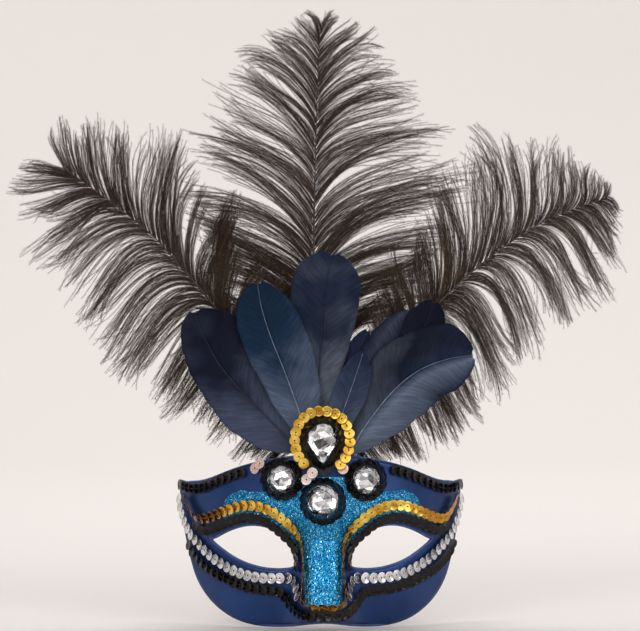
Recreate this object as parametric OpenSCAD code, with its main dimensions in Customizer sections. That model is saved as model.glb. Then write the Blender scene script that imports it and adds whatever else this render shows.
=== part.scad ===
// Venetian half mask with a crest of goose feathers and ostrich plumes.
// Millimetres. +X is to the viewer's right, the front of the mask looks along -Y, +Z is up.
// The origin is the inside of the nose bridge, where the mask rests on the wearer's face.

/* [Mask shell] */
// Width of the shell across the temples
mask_w = 158; // [152:1:164]
// Wall thickness of the moulded shell
wall = 1.3; // [1:0.1:1.6]
// Radius of the face curve, seen from above
face_r = 89; // [86:1:98]
// How far the nose ridge stands out at the bridge
bridge_h = 5.5; // [4:0.5:7]
// Diameter of the strap hole at each temple
strap_hole_d = 2.2; // [1.8:0.1:2.4]

/* [Sequins] */
// Diameter of a sequin
sequin_d = 6; // [5:0.25:6]
// Thickness of a sequin
sequin_t = 0.2; // [0.15:0.05:0.25]
// Distance from one sequin to the next along its thread
sequin_pitch = 4.5; // [4.2:0.1:5]
// Fish-scale tilt of each sequin
sequin_tilt = 12; // [11:0.5:13]

/* [Gems] */
// Diameter of the two round gems
round_gem_d = 15.6; // [14:0.2:16.4]
// Width of the oval gem
oval_gem_w = 17; // [15:0.5:18]
// Height of the oval gem
oval_gem_h = 17.6; // [16:0.5:19]
// Width of the teardrop gem
teardrop_w = 17; // [15:0.5:17.5]
// Height of the teardrop gem
teardrop_h = 23; // [20:0.5:24]

/* [Feathers] */
// Length of the goose feathers, as a share of the usual length
goose_scale = 1; // [0.9:0.01:1.05]
// Thickness of a goose vane
vane_t = 0.6; // [0.5:0.05:0.8]
// Thickness of the barbs of an ostrich plume, front to back
plume_t = 6; // [4:0.5:7]
// How far the crest leans back for each millimetre of height
crest_lean = 0.1; // [0.05:0.01:0.14]

/* [Hidden] */

NAVY = "#1f3566";
TURQUOISE = "#0f8fc8";
GOLD = "#e0b020";
SILVER = "#c8c8cc";
BLACK = "#15110f";
PALE = "#e3cfca";
CLEAR = "#dfe3e8";
FELT = "#17171c";
GLUE = "#d9d2c0";

side = mask_w / 158;
small = 0.1;
coat_t = 0.25;
coat_gap = 0.22;
card_t = 1.2;
card_gap = 0.4;
felt_t = 1.2;
lift = 1.3;             // height of a sequin's middle over the surface that it lies on
hollow_step = 0.3;      // strings that bridge the hollow beside the nose lie this much higher
loop_step = 1.15;       // the gold loop lies this much higher than the black loop beneath it
gem_lift = 2.05;        // height of a gem's back over the surface, on its dot of glue

// ---- curves -------------------------------------------------------------------------------

function ease(a, b, x) = let (t = min(max((x - a) / (b - a), 0), 1)) t * t * (3 - 2 * t);

function blend4(a, b, c, d, t) =
    (2 * b + (c - a) * t + (2 * a - 5 * b + 4 * c - d) * t * t + (3 * b - a - 3 * c + d) * t * t * t) / 2;

// A smooth curve through points, with n steps between one point and the next
function curve(pts, n) = let (last = len(pts) - 1) [
    for (i = [0 : last - 1], j = [0 : n - 1])
        blend4(pts[max(i - 1, 0)], pts[i], pts[i + 1], pts[min(i + 2, last)], j / n),
    pts[last]
];

// The same through a closed ring of points
function closed_curve(pts, n) = let (m = len(pts)) [
    for (i = [0 : m - 1], j = [0 : n - 1])
        blend4(pts[(i + m - 1) % m], pts[i], pts[(i + 1) % m], pts[(i + 2) % m], j / n)
];

function run_lengths(p) = [
    for (i = 0, s = 0; i < len(p); i = i + 1, s = i < len(p) ? s + norm(p[i] - p[i - 1]) : s) s
];

function unit(v) = v / norm(v);

function mirrored(pts) = [for (p = pts) [-p[0], p[1]]];
function reversed(pts) = [for (i = [len(pts) - 1 : -1 : 0]) pts[i]];

// ---- the front of the shell, y as a function of x and z ------------------------------------

function ridge_out(z) = z > 0 ? bridge_h * exp(-z / 13) : bridge_h * (1 - z / 13);
function ridge_half(z) = z > 0 ? 15 + 0.2 * z : 15 - 0.22 * z;
function nose(x, z) = ridge_out(z) * (1 - ease(5, ridge_half(z), abs(x)));
function brow(x, z) = 2.5 * exp(-pow((z - 18) / 13, 2)) * (1 - ease(50, 75, abs(x)));
function cheek(x, z) = 3 * exp(-pow((z + 30) / 12, 2) - pow((abs(x) - 42) / 22, 2));
function socket(x, z) = 1.5 * exp(-pow((abs(x) - 37) / 22, 2) - pow((z + 2) / 12, 2));

function face_bend(x, z) =
    face_r - sqrt(face_r * face_r - x * x) + (z > 0 ? 0.001 : 0.0016) * z * z
    - nose(x, z) - brow(x, z) - cheek(x, z) + socket(x, z);
face_zero = face_bend(0, 0);
function face_y(x, z) = face_bend(x, z) - face_zero - wall;

// The front of the card that carries the teardrop
card_z = 44;
function card_y(z) = face_y(0, card_z) - card_gap - card_t + crest_lean * (z - card_z);

function on(card, x, z) = [x, card ? card_y(z) : face_y(x, z), z];
function outward(card, x, z) = unit([
    (on(card, x + small, z) - on(card, x - small, z))[1] / (2 * small),
    -1,
    (on(card, x, z + small) - on(card, x, z - small))[1] / (2 * small)
]);
function lifted(card, p, h) = on(card, p[0], p[1]) + h * outward(card, p[0], p[1]);

// ---- shell --------------------------------------------------------------------------------

// Right half of the outline: down the middle, along the bottom and up the side, back along the top
middle_edge = [[0, 48.5], [0, 34], [0, 20], [0, 8], [0, -4], [0, -16], [0, -28], [0, -39.5]];
lower_edge = [
    [0, -39.5], [8, -40], [17, -43.6], [27, -45], [37, -44.8], [47, -42.5], [56, -37.5], [64, -30],
    [70, -20], [73, -9], [75, 0], [76.8, 8], [78.4, 18], [79, 32]
];
upper_edge = [
    [79, 32], [72, 31], [65, 32.2], [57, 36], [49, 39.6], [40, 42.6], [31, 44.8], [20, 46.8], [10, 48],
    [0, 48.5]
];
// Right eye hole, in three stretches that face those three
eye_inner = [
    [22, 4.6], [20, 2.6], [18.2, 0.4], [16.8, -2.2], [15.6, -5], [14.7, -8], [14.1, -11], [15.4, -12.9]
];
eye_lower = [
    [15.4, -12.9], [19, -13.6], [23, -14], [27.5, -14], [32, -13.6], [36.5, -12.8], [41, -11.6],
    [45, -10.2], [49, -8.3], [52.5, -6.2], [55.5, -4.2], [58, -2.4], [59.8, -1], [60.8, 0.3]
];
eye_upper = [
    [60.8, 0.3], [58, 2.4], [54, 5], [50, 7], [46, 8.6], [41.5, 9.9], [36.5, 10.3], [31, 9.6], [26, 7.6],
    [22, 4.6]
];
loop_steps = 2;
rings = 9;

function open_end(c) = [for (i = [0 : len(c) - 2]) c[i]];
outer_loop = concat(open_end(curve(middle_edge, loop_steps)), open_end(curve(lower_edge, loop_steps)),
    open_end(curve(upper_edge, loop_steps)));
eye_loop = concat(open_end(curve(eye_inner, loop_steps)), open_end(curve(eye_lower, loop_steps)),
    open_end(curve(eye_upper, loop_steps)));
around = len(outer_loop);
on_middle = (len(middle_edge) - 1) * loop_steps;     // outer points 0 to this one lie on x = 0

// Rings of points from the eye hole out to the edge, on the front and on the inside
function shell_point(k, i, inside) = let (
    p = eye_loop[i] * (1 - k / rings) + outer_loop[i] * (k / rings),
    q = lifted(false, [p[0] * side, p[1]], inside ? -wall : 0)
) k == rings && i <= on_middle ? [0, q[1], q[2]] : q;

ring_points = (rings + 1) * around;
shell_points = [
    for (half = [1, -1], inside = [false, true], k = [0 : rings], i = [0 : around - 1])
        let (q = shell_point(k, i, inside)) [half * q[0], q[1], q[2]]
];
// Number of a point; the two halves share the points on the middle line
function at(half, inside, k, i) = let (j = i % around, own = k < rings || j > on_middle)
    (half && own ? 2 * ring_points : 0) + (inside ? ring_points : 0) + k * around + j;

function quad(a, b, c, d, flip) = flip ? [[c, b, a], [d, c, a]] : [[a, b, c], [a, c, d]];
shell_faces = [
    for (half = [false, true], i = [0 : around - 1]) each concat(
        [for (inside = [false, true], k = [0 : rings - 1]) each
            quad(at(half, inside, k, i), at(half, inside, k + 1, i), at(half, inside, k + 1, i + 1),
                at(half, inside, k, i + 1), half == inside)],
        quad(at(half, false, 0, i), at(half, false, 0, i + 1), at(half, true, 0, i + 1),
            at(half, true, 0, i), !half),
        i < on_middle ? [] : quad(at(half, false, rings, i + 1), at(half, false, rings, i),
            at(half, true, rings, i), at(half, true, rings, i + 1), !half)
    )
];

// The strap holes sit between the gold and the silver trim
strap_spot = [75.2, 19];

module along(direction) {
    rotate([0, acos(direction[2]), atan2(direction[1], direction[0])]) children();
}

module mask_shell() {
    color(NAVY) difference() {
        polyhedron(shell_points, shell_faces, convexity = 10);
        for (s = [-1, 1]) {
            spot = [s * strap_spot[0] * side, strap_spot[1]];
            translate(lifted(false, spot, -wall / 2)) along(outward(false, spot[0], spot[1]))
                cylinder(d = strap_hole_d, h = 8, center = true, $fn = 32);
        }
    }
}

// ---- thin sheets --------------------------------------------------------------------------

// Faces of a closed sheet whose points run over rows and columns, front first and then back
function sheet_faces(rows, cols) = let (n = rows * cols) [
    for (i = [0 : rows - 2], j = [0 : cols - 2]) each concat(
        quad(i * cols + j, i * cols + j + 1, (i + 1) * cols + j + 1, (i + 1) * cols + j, false),
        quad(n + i * cols + j, n + i * cols + j + 1, n + (i + 1) * cols + j + 1, n + (i + 1) * cols + j, true)
    ),
    for (i = [0 : rows - 2]) each concat(
        quad(i * cols, (i + 1) * cols, n + (i + 1) * cols, n + i * cols, false),
        quad((i + 1) * cols - 1, (i + 2) * cols - 1, n + (i + 2) * cols - 1, n + (i + 1) * cols - 1, true)
    ),
    for (j = [0 : cols - 2]) each concat(
        quad(j, j + 1, n + j + 1, n + j, true),
        quad(n - cols + j, n - cols + j + 1, 2 * n - cols + j + 1, 2 * n - cols + j, false)
    )
];

// Glitter coat: its lower and upper edge at each x of the right half
coat_low = [
    [0, -31.5], [9.2, -31.5], [9.4, -20], [10.5, -8], [13, -1.5], [17, 2.2], [22, 6.4], [26, 9], [31, 11],
    [36.5, 11.6], [42, 11.2], [47, 9.6], [51, 8], [53.5, 12], [55, 15.5]
];
coat_high = [
    [0, 36.4], [13, 36.4], [17, 35.4], [21, 33], [27, 29.5], [33, 28], [38, 28], [44, 28.6], [49, 27],
    [52.5, 23.5], [55, 16.5]
];
coat_cols = [
    0, 2.5, 5, 6.5, 8, 9.2, 10, 11, 12.5, 14.5, 17, 20, 23, 26, 29, 32, 35, 38, 41, 44, 47, 50, 52.5, 55
];
coat_rows = 12;
all_coat_cols = concat([for (i = [len(coat_cols) - 1 : -1 : 1]) -coat_cols[i]], coat_cols);

module glitter_coat() {
    points = [
        for (h = [coat_gap + coat_t, coat_gap], x = all_coat_cols, j = [0 : coat_rows])
            let (low = lookup(abs(x), coat_low), high = lookup(abs(x), coat_high))
            lifted(false, [x * side, low + (high - low) * j / coat_rows], h)
    ];
    color(TURQUOISE) polyhedron(points, sheet_faces(len(all_coat_cols), coat_rows + 1), convexity = 6);
}

// ---- sequins ------------------------------------------------------------------------------

// One sequin: its middle, the surface's normal, the way its thread runs and its twist about it
module sequin(middle, normal, thread, twist, tilt) {
    across = cross(normal, thread);
    flat = cos(twist) * normal + sin(twist) * across;
    translate(middle) along(unit(cos(tilt) * flat - sin(tilt) * thread))
        cylinder(d = sequin_d, h = sequin_t, center = true, $fn = 24);
}

// A string of sequins along a line [x, z] on the shell or on the card. twist is a list of
// [share of the length, degrees]; a twisted string stands on its edge, so it sits higher.
module sequin_string(
    line, card = false, closed = false, height = lift, twist = [[0, 0]], tilt = sequin_tilt
) {
    reach = closed ? 1 : 3.5;
    pts = [for (p = line) lifted(card, [p[0] * side, p[1]], height)];
    run = run_lengths(pts);
    total = run[len(run) - 1];
    count = closed ? round(total / sequin_pitch) : floor((total - sequin_d) / sequin_pitch) + 1;
    step = closed ? total / count : (total - sequin_d) / (count - 1);
    xs = [for (i = [0 : len(run) - 1]) [run[i], line[i][0] * side]];
    zs = [for (i = [0 : len(run) - 1]) [run[i], line[i][1]]];
    for (i = [0 : count - 1]) {
        s = closed ? i * step : sequin_d / 2 + i * step;
        turn = lookup(s / total, twist);
        rise = height + sin(abs(turn)) * sequin_d / 2;
        here = [lookup(s, xs), lookup(s, zs)];
        ahead = [lookup(min(s + reach, total), xs), lookup(min(s + reach, total), zs)];
        behind = [lookup(max(s - reach, 0), xs), lookup(max(s - reach, 0), zs)];
        thread = lifted(card, ahead, rise) - lifted(card, behind, rise);
        normal = unit(outward(card, here[0], here[1]) + outward(card, ahead[0], ahead[1])
            + outward(card, behind[0], behind[1]));
        sequin(lifted(card, here, rise), normal, unit(thread - (thread * normal) * normal), turn, tilt);
    }
}

line_steps = 6;

gold_side = [
    [0, -33], [5, -33], [8.6, -30.5], [8.9, -24], [8.6, -13], [9, -4], [10.6, 2.2], [14, 7.2],
    [19.5, 12.2], [26.5, 17.2], [35, 20.3], [43.5, 20.2], [51.5, 17.4], [59.5, 13.6], [64.4, 11.8],
    [68, 12.6], [71, 16.5], [72.9, 20.5], [74.1, 24.4]
];
black_eye_side = [
    [12.9, -15], [12.7, -11], [13.1, -5], [15.5, -0.4], [19.6, 4.2], [24.2, 8.2], [29.5, 12], [36, 14.1],
    [43, 13.8], [50, 11.3], [57, 8], [62.5, 5.6], [66.6, 6], [69, 9.6]
];
silver_side = [
    [78, 24.5], [77.1, 16.6], [74.4, 8.6], [71.2, 2.4], [66, -3], [60.8, -7.9], [54.2, -12.3],
    [47, -15.8], [39.3, -18], [31, -18.8], [23.5, -18.6], [18, -18.4], [14.6, -20.2], [13.2, -24],
    [12.6, -30]
];
black_low_side = [
    [73.2, -1], [70.6, -6.6], [66.4, -11.8], [61, -15.9], [54, -19.4], [46.5, -22.4], [38.5, -24.4],
    [30.5, -25.2], [25.4, -25.4], [20.8, -27.2], [17.6, -31.2], [13.4, -35.2], [7.4, -37.1], [0, -37.5]
];
top_side = [[79.2, 30], [75.6, 28.2], [71, 27.7], [65, 28.9], [57, 32.7], [49, 36.3], [41, 39.2]];

gold_twist = [
    [0, -34], [0.05, -28], [0.1, -18], [0.2, -10], [0.24, 0], [0.27, -6], [0.34, -34], [0.4, -42],
    [0.46, -58], [0.54, -58], [0.6, -42], [0.65, -34], [0.72, -4], [0.84, 6], [0.9, -10], [1, -30]
];

black_eye_twist = [[0, 24], [0.2, 20], [0.6, 0], [0.85, 0], [1, 16]];

module gold_brow_trim() {
    line = concat(mirrored(reversed(gold_side)), [for (i = [1 : len(gold_side) - 1]) gold_side[i]]);
    color(GOLD) sequin_string(curve(line, line_steps), twist = gold_twist);
}

module left_black_eye_trim() {
    color(BLACK) sequin_string(curve(mirrored(black_eye_side), line_steps), twist = black_eye_twist);
}

module right_black_eye_trim() {
    twist = [for (t = black_eye_twist) [t[0], -t[1]]];
    color(BLACK) sequin_string(curve(black_eye_side, line_steps), twist = twist);
}

module left_silver_trim() {
    color(SILVER) sequin_string(curve(mirrored(silver_side), line_steps), height = lift + hollow_step);
}

module right_silver_trim() {
    color(SILVER) sequin_string(curve(silver_side, line_steps), height = lift + hollow_step);
}

module lower_black_trim() {
    line = concat(mirrored(black_low_side), reversed(open_end(black_low_side)));
    color(BLACK) sequin_string(curve(line, line_steps), height = lift + 2 * hollow_step, tilt = 16);
}

module left_top_trim() {
    color(BLACK) sequin_string(curve(mirrored(top_side), line_steps));
}

module right_top_trim() {
    color(BLACK) sequin_string(curve(concat(top_side, [[36.8, 40.4]]), line_steps));
}

// ---- gems ---------------------------------------------------------------------------------

left_gem_at = [-21.8, 35];
right_gem_at = [23, 34.6];
oval_gem_at = [0, 23.4];
teardrop_at = [0, 57];          // middle of the teardrop's round end
ring_out = 2;                   // the ring's thread runs this far outside the gem's edge
ring_twist = [[0, -56]];        // its sequins stand up against the gem

module place(card, spot) {
    n = outward(card, spot[0], spot[1]);
    translate(on(card, spot[0], spot[1])) rotate([90 - asin(n[2]), 0, atan2(n[0], -n[1])]) children();
}

// A faceted stone on its back: a girdle, a crown and a table of half its size
module stone(height, girdle) {
    translate([0, 0, gem_lift]) hull() {
        linear_extrude(girdle) children();
        translate([0, 0, height - small]) linear_extrude(small) scale(0.55) children();
    }
}

module oval_shape(w, h, n) {
    polygon([for (i = [0 : n - 1]) [w / 2 * cos(360 * i / n), h / 2 * sin(360 * i / n)]]);
}

// Teardrop with its round end at the origin and its point below
function teardrop_outline(grow, blunt) = let (
    r = teardrop_w / 2 + grow, tip = teardrop_h - teardrop_w / 2 + grow * 1.3, lean = asin(r / tip)
) [
    for (i = [0 : 16]) let (a = -lean + (180 + 2 * lean) * i / 16) [r * cos(a), r * sin(a)],
    [-r * blunt, -tip + r * blunt], [0, -tip + r * blunt * 0.6], [r * blunt, -tip + r * blunt]
];

module round_gem(spot) {
    color(CLEAR) place(false, spot) stone(5.5, 1) oval_shape(round_gem_d, round_gem_d, 16);
}

module left_round_gem() {
    round_gem(left_gem_at);
}

module right_round_gem() {
    round_gem(right_gem_at);
}

module oval_gem() {
    color(CLEAR) place(false, oval_gem_at) stone(6, 1) oval_shape(oval_gem_w, oval_gem_h, 16);
}

module teardrop_gem() {
    color(CLEAR) place(true, teardrop_at) stone(6.5, 1) polygon(teardrop_outline(0, 0.12));
}

function ellipse_line(spot, w, h) = [
    for (i = [0 : 48]) [spot[0] + w / 2 * cos(7.5 * i), spot[1] + h / 2 * sin(7.5 * i)]
];

module gem_ring(spot, w, h) {
    line = ellipse_line(spot, w + 2 * ring_out, h + 2 * ring_out);
    color(BLACK) sequin_string(line, closed = true, twist = ring_twist);
}

module left_gem_ring() {
    gem_ring(left_gem_at, round_gem_d, round_gem_d);
}

module right_gem_ring() {
    gem_ring(right_gem_at, round_gem_d, round_gem_d);
}

module oval_gem_ring() {
    gem_ring(oval_gem_at, oval_gem_w, oval_gem_h);
}

module teardrop_black_loop() {
    ring = [for (p = teardrop_outline(ring_out - 0.3, 0.34)) p + teardrop_at];
    color(BLACK) sequin_string(concat(ring, [ring[0]]), card = true, closed = true, twist = ring_twist);
}

gold_loop = [
    [-8.2, 41.5], [-13, 47.5], [-15.2, 56], [-13, 64.6], [-7.4, 70.4], [0, 72], [7.6, 70], [12.8, 64.4],
    [14.8, 56], [12.6, 47.5], [7.6, 41]
];

module teardrop_gold_loop() {
    color(GOLD) sequin_string(curve(gold_loop, line_steps), card = true, height = lift + loop_step);
}

// Loose sequins at the ends of the strings: [x, z, height]
pale_spots = [[-36.6, 40.6, 1], [-33.4, 43.4, 2.4], [-8.5, 34.5, 4.9], [-5.4, 38, 7.1], [10.4, 40.6, 3.4]];

module pale_sequins() {
    color(PALE) for (p = pale_spots) {
        n = outward(false, p[0] * side, p[1]);
        sequin(lifted(false, [p[0] * side, p[1]], p[2]), n, unit(cross([0, 0, 1], n)), 0, sequin_tilt);
    }
}

module gem_glue_dots() {
    color(GLUE) {
        for (spot = [left_gem_at, right_gem_at, oval_gem_at])
            place(false, spot) translate([0, 0, 0.7]) cylinder(r = 3.6, h = gem_lift - 0.72, $fn = 32);
        place(true, teardrop_at) translate([0, 0, 0.05]) cylinder(r = 4, h = gem_lift - 0.1, $fn = 32);
    }
}

// ---- crest: card, felt, glue, feathers ----------------------------------------------------

module upright(y_low, z_low) {
    translate([0, y_low, z_low]) rotate([90 - atan(crest_lean), 0, 0]) children();
}

// A plate with a round top and a narrow foot, standing along the crest
module crest_plate(foot_z, foot_r, top_z, top_r, thick, back_y) {
    upright(back_y, foot_z) linear_extrude(thick) hull() {
        translate([0, foot_r]) circle(foot_r, $fn = 32);
        translate([0, top_z - foot_z - top_r]) circle(top_r, $fn = 48);
    }
}

module crest_card() {
    foot = 37;
    color(FELT) crest_plate(foot, 5.5, 74, 15.5, card_t, card_y(foot) + card_t);
}

felt_y = 17.6;

module crest_felt() {
    color(FELT) upright(felt_y + felt_t, 28) linear_extrude(felt_t) hull()
        for (x = [-15, 15], z = [4, 13]) translate([x, z]) circle(4, $fn = 32);
}

// Pads of glue that hold the felt to the shell beside the quills
pad_x = 15.6;
pad_z = 35;

module glue_pads() {
    color(GLUE) for (s = [-1, 1]) translate([s * pad_x, 0, pad_z]) rotate([90, 0, 0])
        translate([0, 0, -felt_y - 0.1])
            cylinder(r = 2.4, h = felt_y - face_y(pad_x, pad_z) - wall - 1, $fn = 32);
}

// Feather: rows along the shaft from the quill's end to the tip, columns across the vane.
// spine is a list of [x, z]; wide_left and wide_right are lists of [share of length, width];
// layer is the depth of the vane at the foot of the crest.
vane_rows = 22;
vane_cols = 8;
quill_t = 1.6;
quill_y = 9.9;
vane_from = 0.16;

module goose_feather(tint, spine, wide_left, wide_right, layer, cup) {
    line = curve([for (p = spine) spine[0] + (p - spine[0]) * goose_scale], line_steps);
    run = run_lengths(line);
    total = run[len(run) - 1];
    xs = [for (i = [0 : len(run) - 1]) [run[i] / total, line[i][0]]];
    zs = [for (i = [0 : len(run) - 1]) [run[i] / total, line[i][1]]];
    points = [
        for (face = [1, -1], i = [0 : vane_rows], j = [0 : vane_cols]) let (
            s = i / vane_rows,
            middle = [lookup(s, xs), lookup(s, zs)],
            ahead = [lookup(min(s + 0.02, 1), xs), lookup(min(s + 0.02, 1), zs)],
            behind = [lookup(max(s - 0.02, 0), xs), lookup(max(s - 0.02, 0), zs)],
            way = unit(ahead - behind),
            q = 2 * j / vane_cols - 1,
            reach = q < 0 ? lookup(s, wide_left) : lookup(s, wide_right),
            p = middle + [way[1], -way[0]] * q * reach,
            thick = vane_t + (quill_t - vane_t) * (1 - ease(0, vane_from, s)),
            deep = quill_y + (layer - quill_y) * ease(48.5, 58, p[1])
        ) [p[0], deep + crest_lean * (p[1] - card_z) + cup * pow(q * reach / 20, 2) + face * thick / 2, p[1]]
    ];
    color(tint) polyhedron(points, sheet_faces(vane_rows + 1, vane_cols + 1), convexity = 6);
}

// Depth of each layer of vanes, from front to back
layers = [7.6, 9.8, 12.1, 14.3, 16.5];

module goose_left_big() {
    goose_feather("#1b2a4a",
        [[-9.6, 34], [-12.6, 46], [-21, 59], [-38, 76], [-56, 97], [-66, 116], [-70, 127]],
        [[0, 0.9], [0.14, 0.9], [0.2, 5], [0.3, 14], [0.45, 19], [0.6, 18], [0.75, 15], [0.9, 11],
         [0.97, 7], [1, 2]],
        [[0, 0.9], [0.14, 0.9], [0.2, 5], [0.3, 12], [0.45, 19], [0.6, 23], [0.75, 24], [0.88, 20],
         [0.96, 11], [1, 2]],
        layers[2], 1.4);
}

module goose_left_teal() {
    goose_feather("#1f4266",
        [[-6.9, 34], [-8, 48], [-11.6, 68], [-20, 92], [-28, 112], [-33, 128], [-35.5, 142.5]],
        [[0, 0.9], [0.16, 0.9], [0.24, 5], [0.4, 11], [0.6, 15], [0.78, 16], [0.9, 13], [0.97, 7],
         [1, 1.5]],
        [[0, 0.9], [0.16, 0.9], [0.24, 5], [0.4, 14], [0.6, 18], [0.78, 18], [0.9, 14], [0.97, 8],
         [1, 1.5]],
        layers[1], 1.2);
}

module goose_centre() {
    goose_feather("#1c2c50",
        [[-4.2, 34], [-4.4, 50], [-3, 76], [-1, 104], [0.6, 128], [3, 146], [5.4, 159]],
        [[0, 0.9], [0.2, 0.9], [0.3, 6], [0.5, 13], [0.7, 18], [0.86, 19], [0.94, 14], [0.98, 9], [1, 3]],
        [[0, 0.9], [0.2, 0.9], [0.3, 6], [0.5, 13], [0.7, 19], [0.86, 21], [0.94, 17], [0.98, 11], [1, 3]],
        layers[3], 1.2);
}

module goose_centre_back() {
    goose_feather("#161d2e", [[-1.5, 34], [-0.6, 50], [6, 70], [14, 92], [20.5, 106], [25.5, 116.5]],
        [[0, 0.9], [0.3, 0.9], [0.5, 4], [0.8, 6], [0.95, 3.5], [1, 1]],
        [[0, 0.9], [0.3, 0.9], [0.5, 4], [0.8, 6], [0.95, 3.5], [1, 1]],
        layers[4], 0.6);
}

module goose_small() {
    goose_feather("#33486a", [[1.2, 34], [2.6, 48], [8, 63], [13.5, 78], [18.5, 92], [22.5, 104.5]],
        [[0, 0.9], [0.24, 0.9], [0.4, 5], [0.65, 8.5], [0.85, 7], [0.96, 4], [1, 1]],
        [[0, 0.9], [0.24, 0.9], [0.4, 5], [0.65, 9], [0.85, 7.5], [0.96, 4], [1, 1]],
        layers[0], 0.8);
}

module goose_right_grey() {
    goose_feather("#2c4066", [[3.9, 34], [6.2, 47], [15.6, 66], [29, 88], [40, 106], [49.5, 126.5]],
        [[0, 0.9], [0.18, 0.9], [0.28, 6], [0.45, 12], [0.65, 15.5], [0.82, 14], [0.94, 8], [1, 1.5]],
        [[0, 0.9], [0.18, 0.9], [0.28, 6], [0.45, 12], [0.65, 15], [0.82, 13], [0.94, 8], [1, 1.5]],
        layers[3], 1);
}

module goose_right_dark() {
    goose_feather("#141c33", [[6.6, 34], [9.6, 47], [21, 65], [37, 86], [51, 108], [58, 122], [62, 132]],
        [[0, 0.9], [0.2, 0.9], [0.28, 3], [0.5, 6], [0.72, 9], [0.88, 11], [0.96, 9], [1, 3]],
        [[0, 0.9], [0.2, 0.9], [0.28, 6], [0.5, 11], [0.72, 13], [0.88, 12], [0.96, 9], [1, 3]],
        layers[2], 1);
}

module goose_right_big() {
    goose_feather("#26395c",
        [[9.3, 34], [13.2, 46], [21.5, 61], [37, 81], [52, 93.5], [68, 100], [83.5, 102.5]],
        [[0, 0.9], [0.16, 0.9], [0.24, 7], [0.4, 16], [0.6, 21], [0.76, 20.5], [0.88, 18], [0.95, 13],
         [1, 3]],
        [[0, 0.9], [0.16, 0.9], [0.24, 7], [0.4, 17], [0.6, 21], [0.76, 17], [0.88, 14], [0.95, 10],
         [1, 2.5]],
        layers[1], 1.4);
}

// Ostrich plume: the shape of its barbs with a straight quill below it
plume_quill_r = 1.4;
plume_quill_y = 12.6;

module plume(outline, foot, start, layer) {
    color(BLACK) {
        stretch = sqrt(1 + crest_lean * crest_lean);
        upright(layer + plume_t / 2 + crest_lean * (start[1] - card_z), start[1]) linear_extrude(plume_t)
            polygon([for (p = closed_curve(outline, 4)) [p[0], (p[1] - start[1]) * stretch]]);
        bottom = [foot[0], plume_quill_y, foot[1]];
        top = [start[0], layer + crest_lean * (start[1] + 4 - card_z), start[1] + 4];
        translate(bottom) along(unit(top - bottom))
            cylinder(r = plume_quill_r, h = norm(top - bottom), $fn = 32);
    }
}

module plume_left() {
    plume([
        [-12, 62], [-30, 58], [-56, 62], [-76, 66], [-100, 82], [-118, 100], [-136, 124], [-156, 142],
        [-163, 156], [-148, 168], [-166, 178], [-171, 200], [-164, 212], [-146, 226], [-124, 233],
        [-98, 229], [-76, 222], [-62, 198], [-54, 166], [-40, 128], [-20, 92]
    ], [-6, 36], [-12, 66], 21.5);
}

module plume_centre() {
    plume([
        [-6, 76], [-22, 100], [-34, 132], [-52, 158], [-66, 190], [-74, 216], [-66, 240], [-60, 262],
        [-38, 272], [-18, 284], [0, 289], [16, 280], [40, 268], [56, 250], [66, 222], [80, 206],
        [70, 176], [48, 148], [30, 122], [18, 98], [6, 76]
    ], [-1, 36], [0, 82], 29);
}

module plume_right() {
    plume([
        [14, 62], [34, 54], [58, 58], [84, 64], [108, 80], [128, 102], [150, 122], [163, 136], [167, 166],
        [166, 186], [152, 206], [136, 217], [110, 225], [82, 226], [70, 204], [58, 168], [42, 130],
        [22, 94]
    ], [4, 36], [15, 66], 21.5);
}

// ---- what is drawn ------------------------------------------------------------------------

mask_shell();
glitter_coat();
crest_card();
crest_felt();
glue_pads();
gem_glue_dots();
left_round_gem();
right_round_gem();
oval_gem();
teardrop_gem();
left_gem_ring();
right_gem_ring();
oval_gem_ring();
teardrop_black_loop();
teardrop_gold_loop();
gold_brow_trim();
left_black_eye_trim();
right_black_eye_trim();
left_silver_trim();
right_silver_trim();
lower_black_trim();
left_top_trim();
right_top_trim();
pale_sequins();
goose_left_big();
goose_left_teal();
goose_centre();
goose_centre_back();
goose_small();
goose_right_grey();
goose_right_dark();
goose_right_big();
plume_left();
plume_centre();
plume_right();
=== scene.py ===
"""Venetian half mask with a feather crest: its looks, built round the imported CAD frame.
Metres. The mask's front looks along -Y, +X is to the viewer's right, +Z is up."""
import math
import random

import bmesh
import bpy
import numpy as np
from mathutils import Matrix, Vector


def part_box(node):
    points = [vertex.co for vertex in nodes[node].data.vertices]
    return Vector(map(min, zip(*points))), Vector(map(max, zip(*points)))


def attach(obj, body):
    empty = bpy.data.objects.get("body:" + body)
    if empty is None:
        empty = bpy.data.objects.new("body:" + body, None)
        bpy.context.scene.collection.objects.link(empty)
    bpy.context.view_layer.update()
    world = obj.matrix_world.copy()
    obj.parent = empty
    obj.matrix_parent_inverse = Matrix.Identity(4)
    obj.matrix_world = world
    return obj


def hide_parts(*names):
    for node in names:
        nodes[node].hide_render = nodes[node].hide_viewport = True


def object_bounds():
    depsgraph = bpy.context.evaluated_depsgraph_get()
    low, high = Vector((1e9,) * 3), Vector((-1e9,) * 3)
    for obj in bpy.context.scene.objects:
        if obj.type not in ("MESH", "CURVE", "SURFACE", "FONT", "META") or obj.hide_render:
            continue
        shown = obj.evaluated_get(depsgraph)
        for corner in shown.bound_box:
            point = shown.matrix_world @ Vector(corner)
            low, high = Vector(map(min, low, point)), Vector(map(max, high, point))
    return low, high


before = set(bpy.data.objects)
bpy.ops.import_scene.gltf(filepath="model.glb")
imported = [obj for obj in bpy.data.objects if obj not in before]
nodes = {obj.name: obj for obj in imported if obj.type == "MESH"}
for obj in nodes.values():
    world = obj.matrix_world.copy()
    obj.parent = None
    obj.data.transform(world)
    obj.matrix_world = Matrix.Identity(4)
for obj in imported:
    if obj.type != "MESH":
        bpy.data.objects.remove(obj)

cad_box = [list(corner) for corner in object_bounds()]
MM = 0.001


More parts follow.
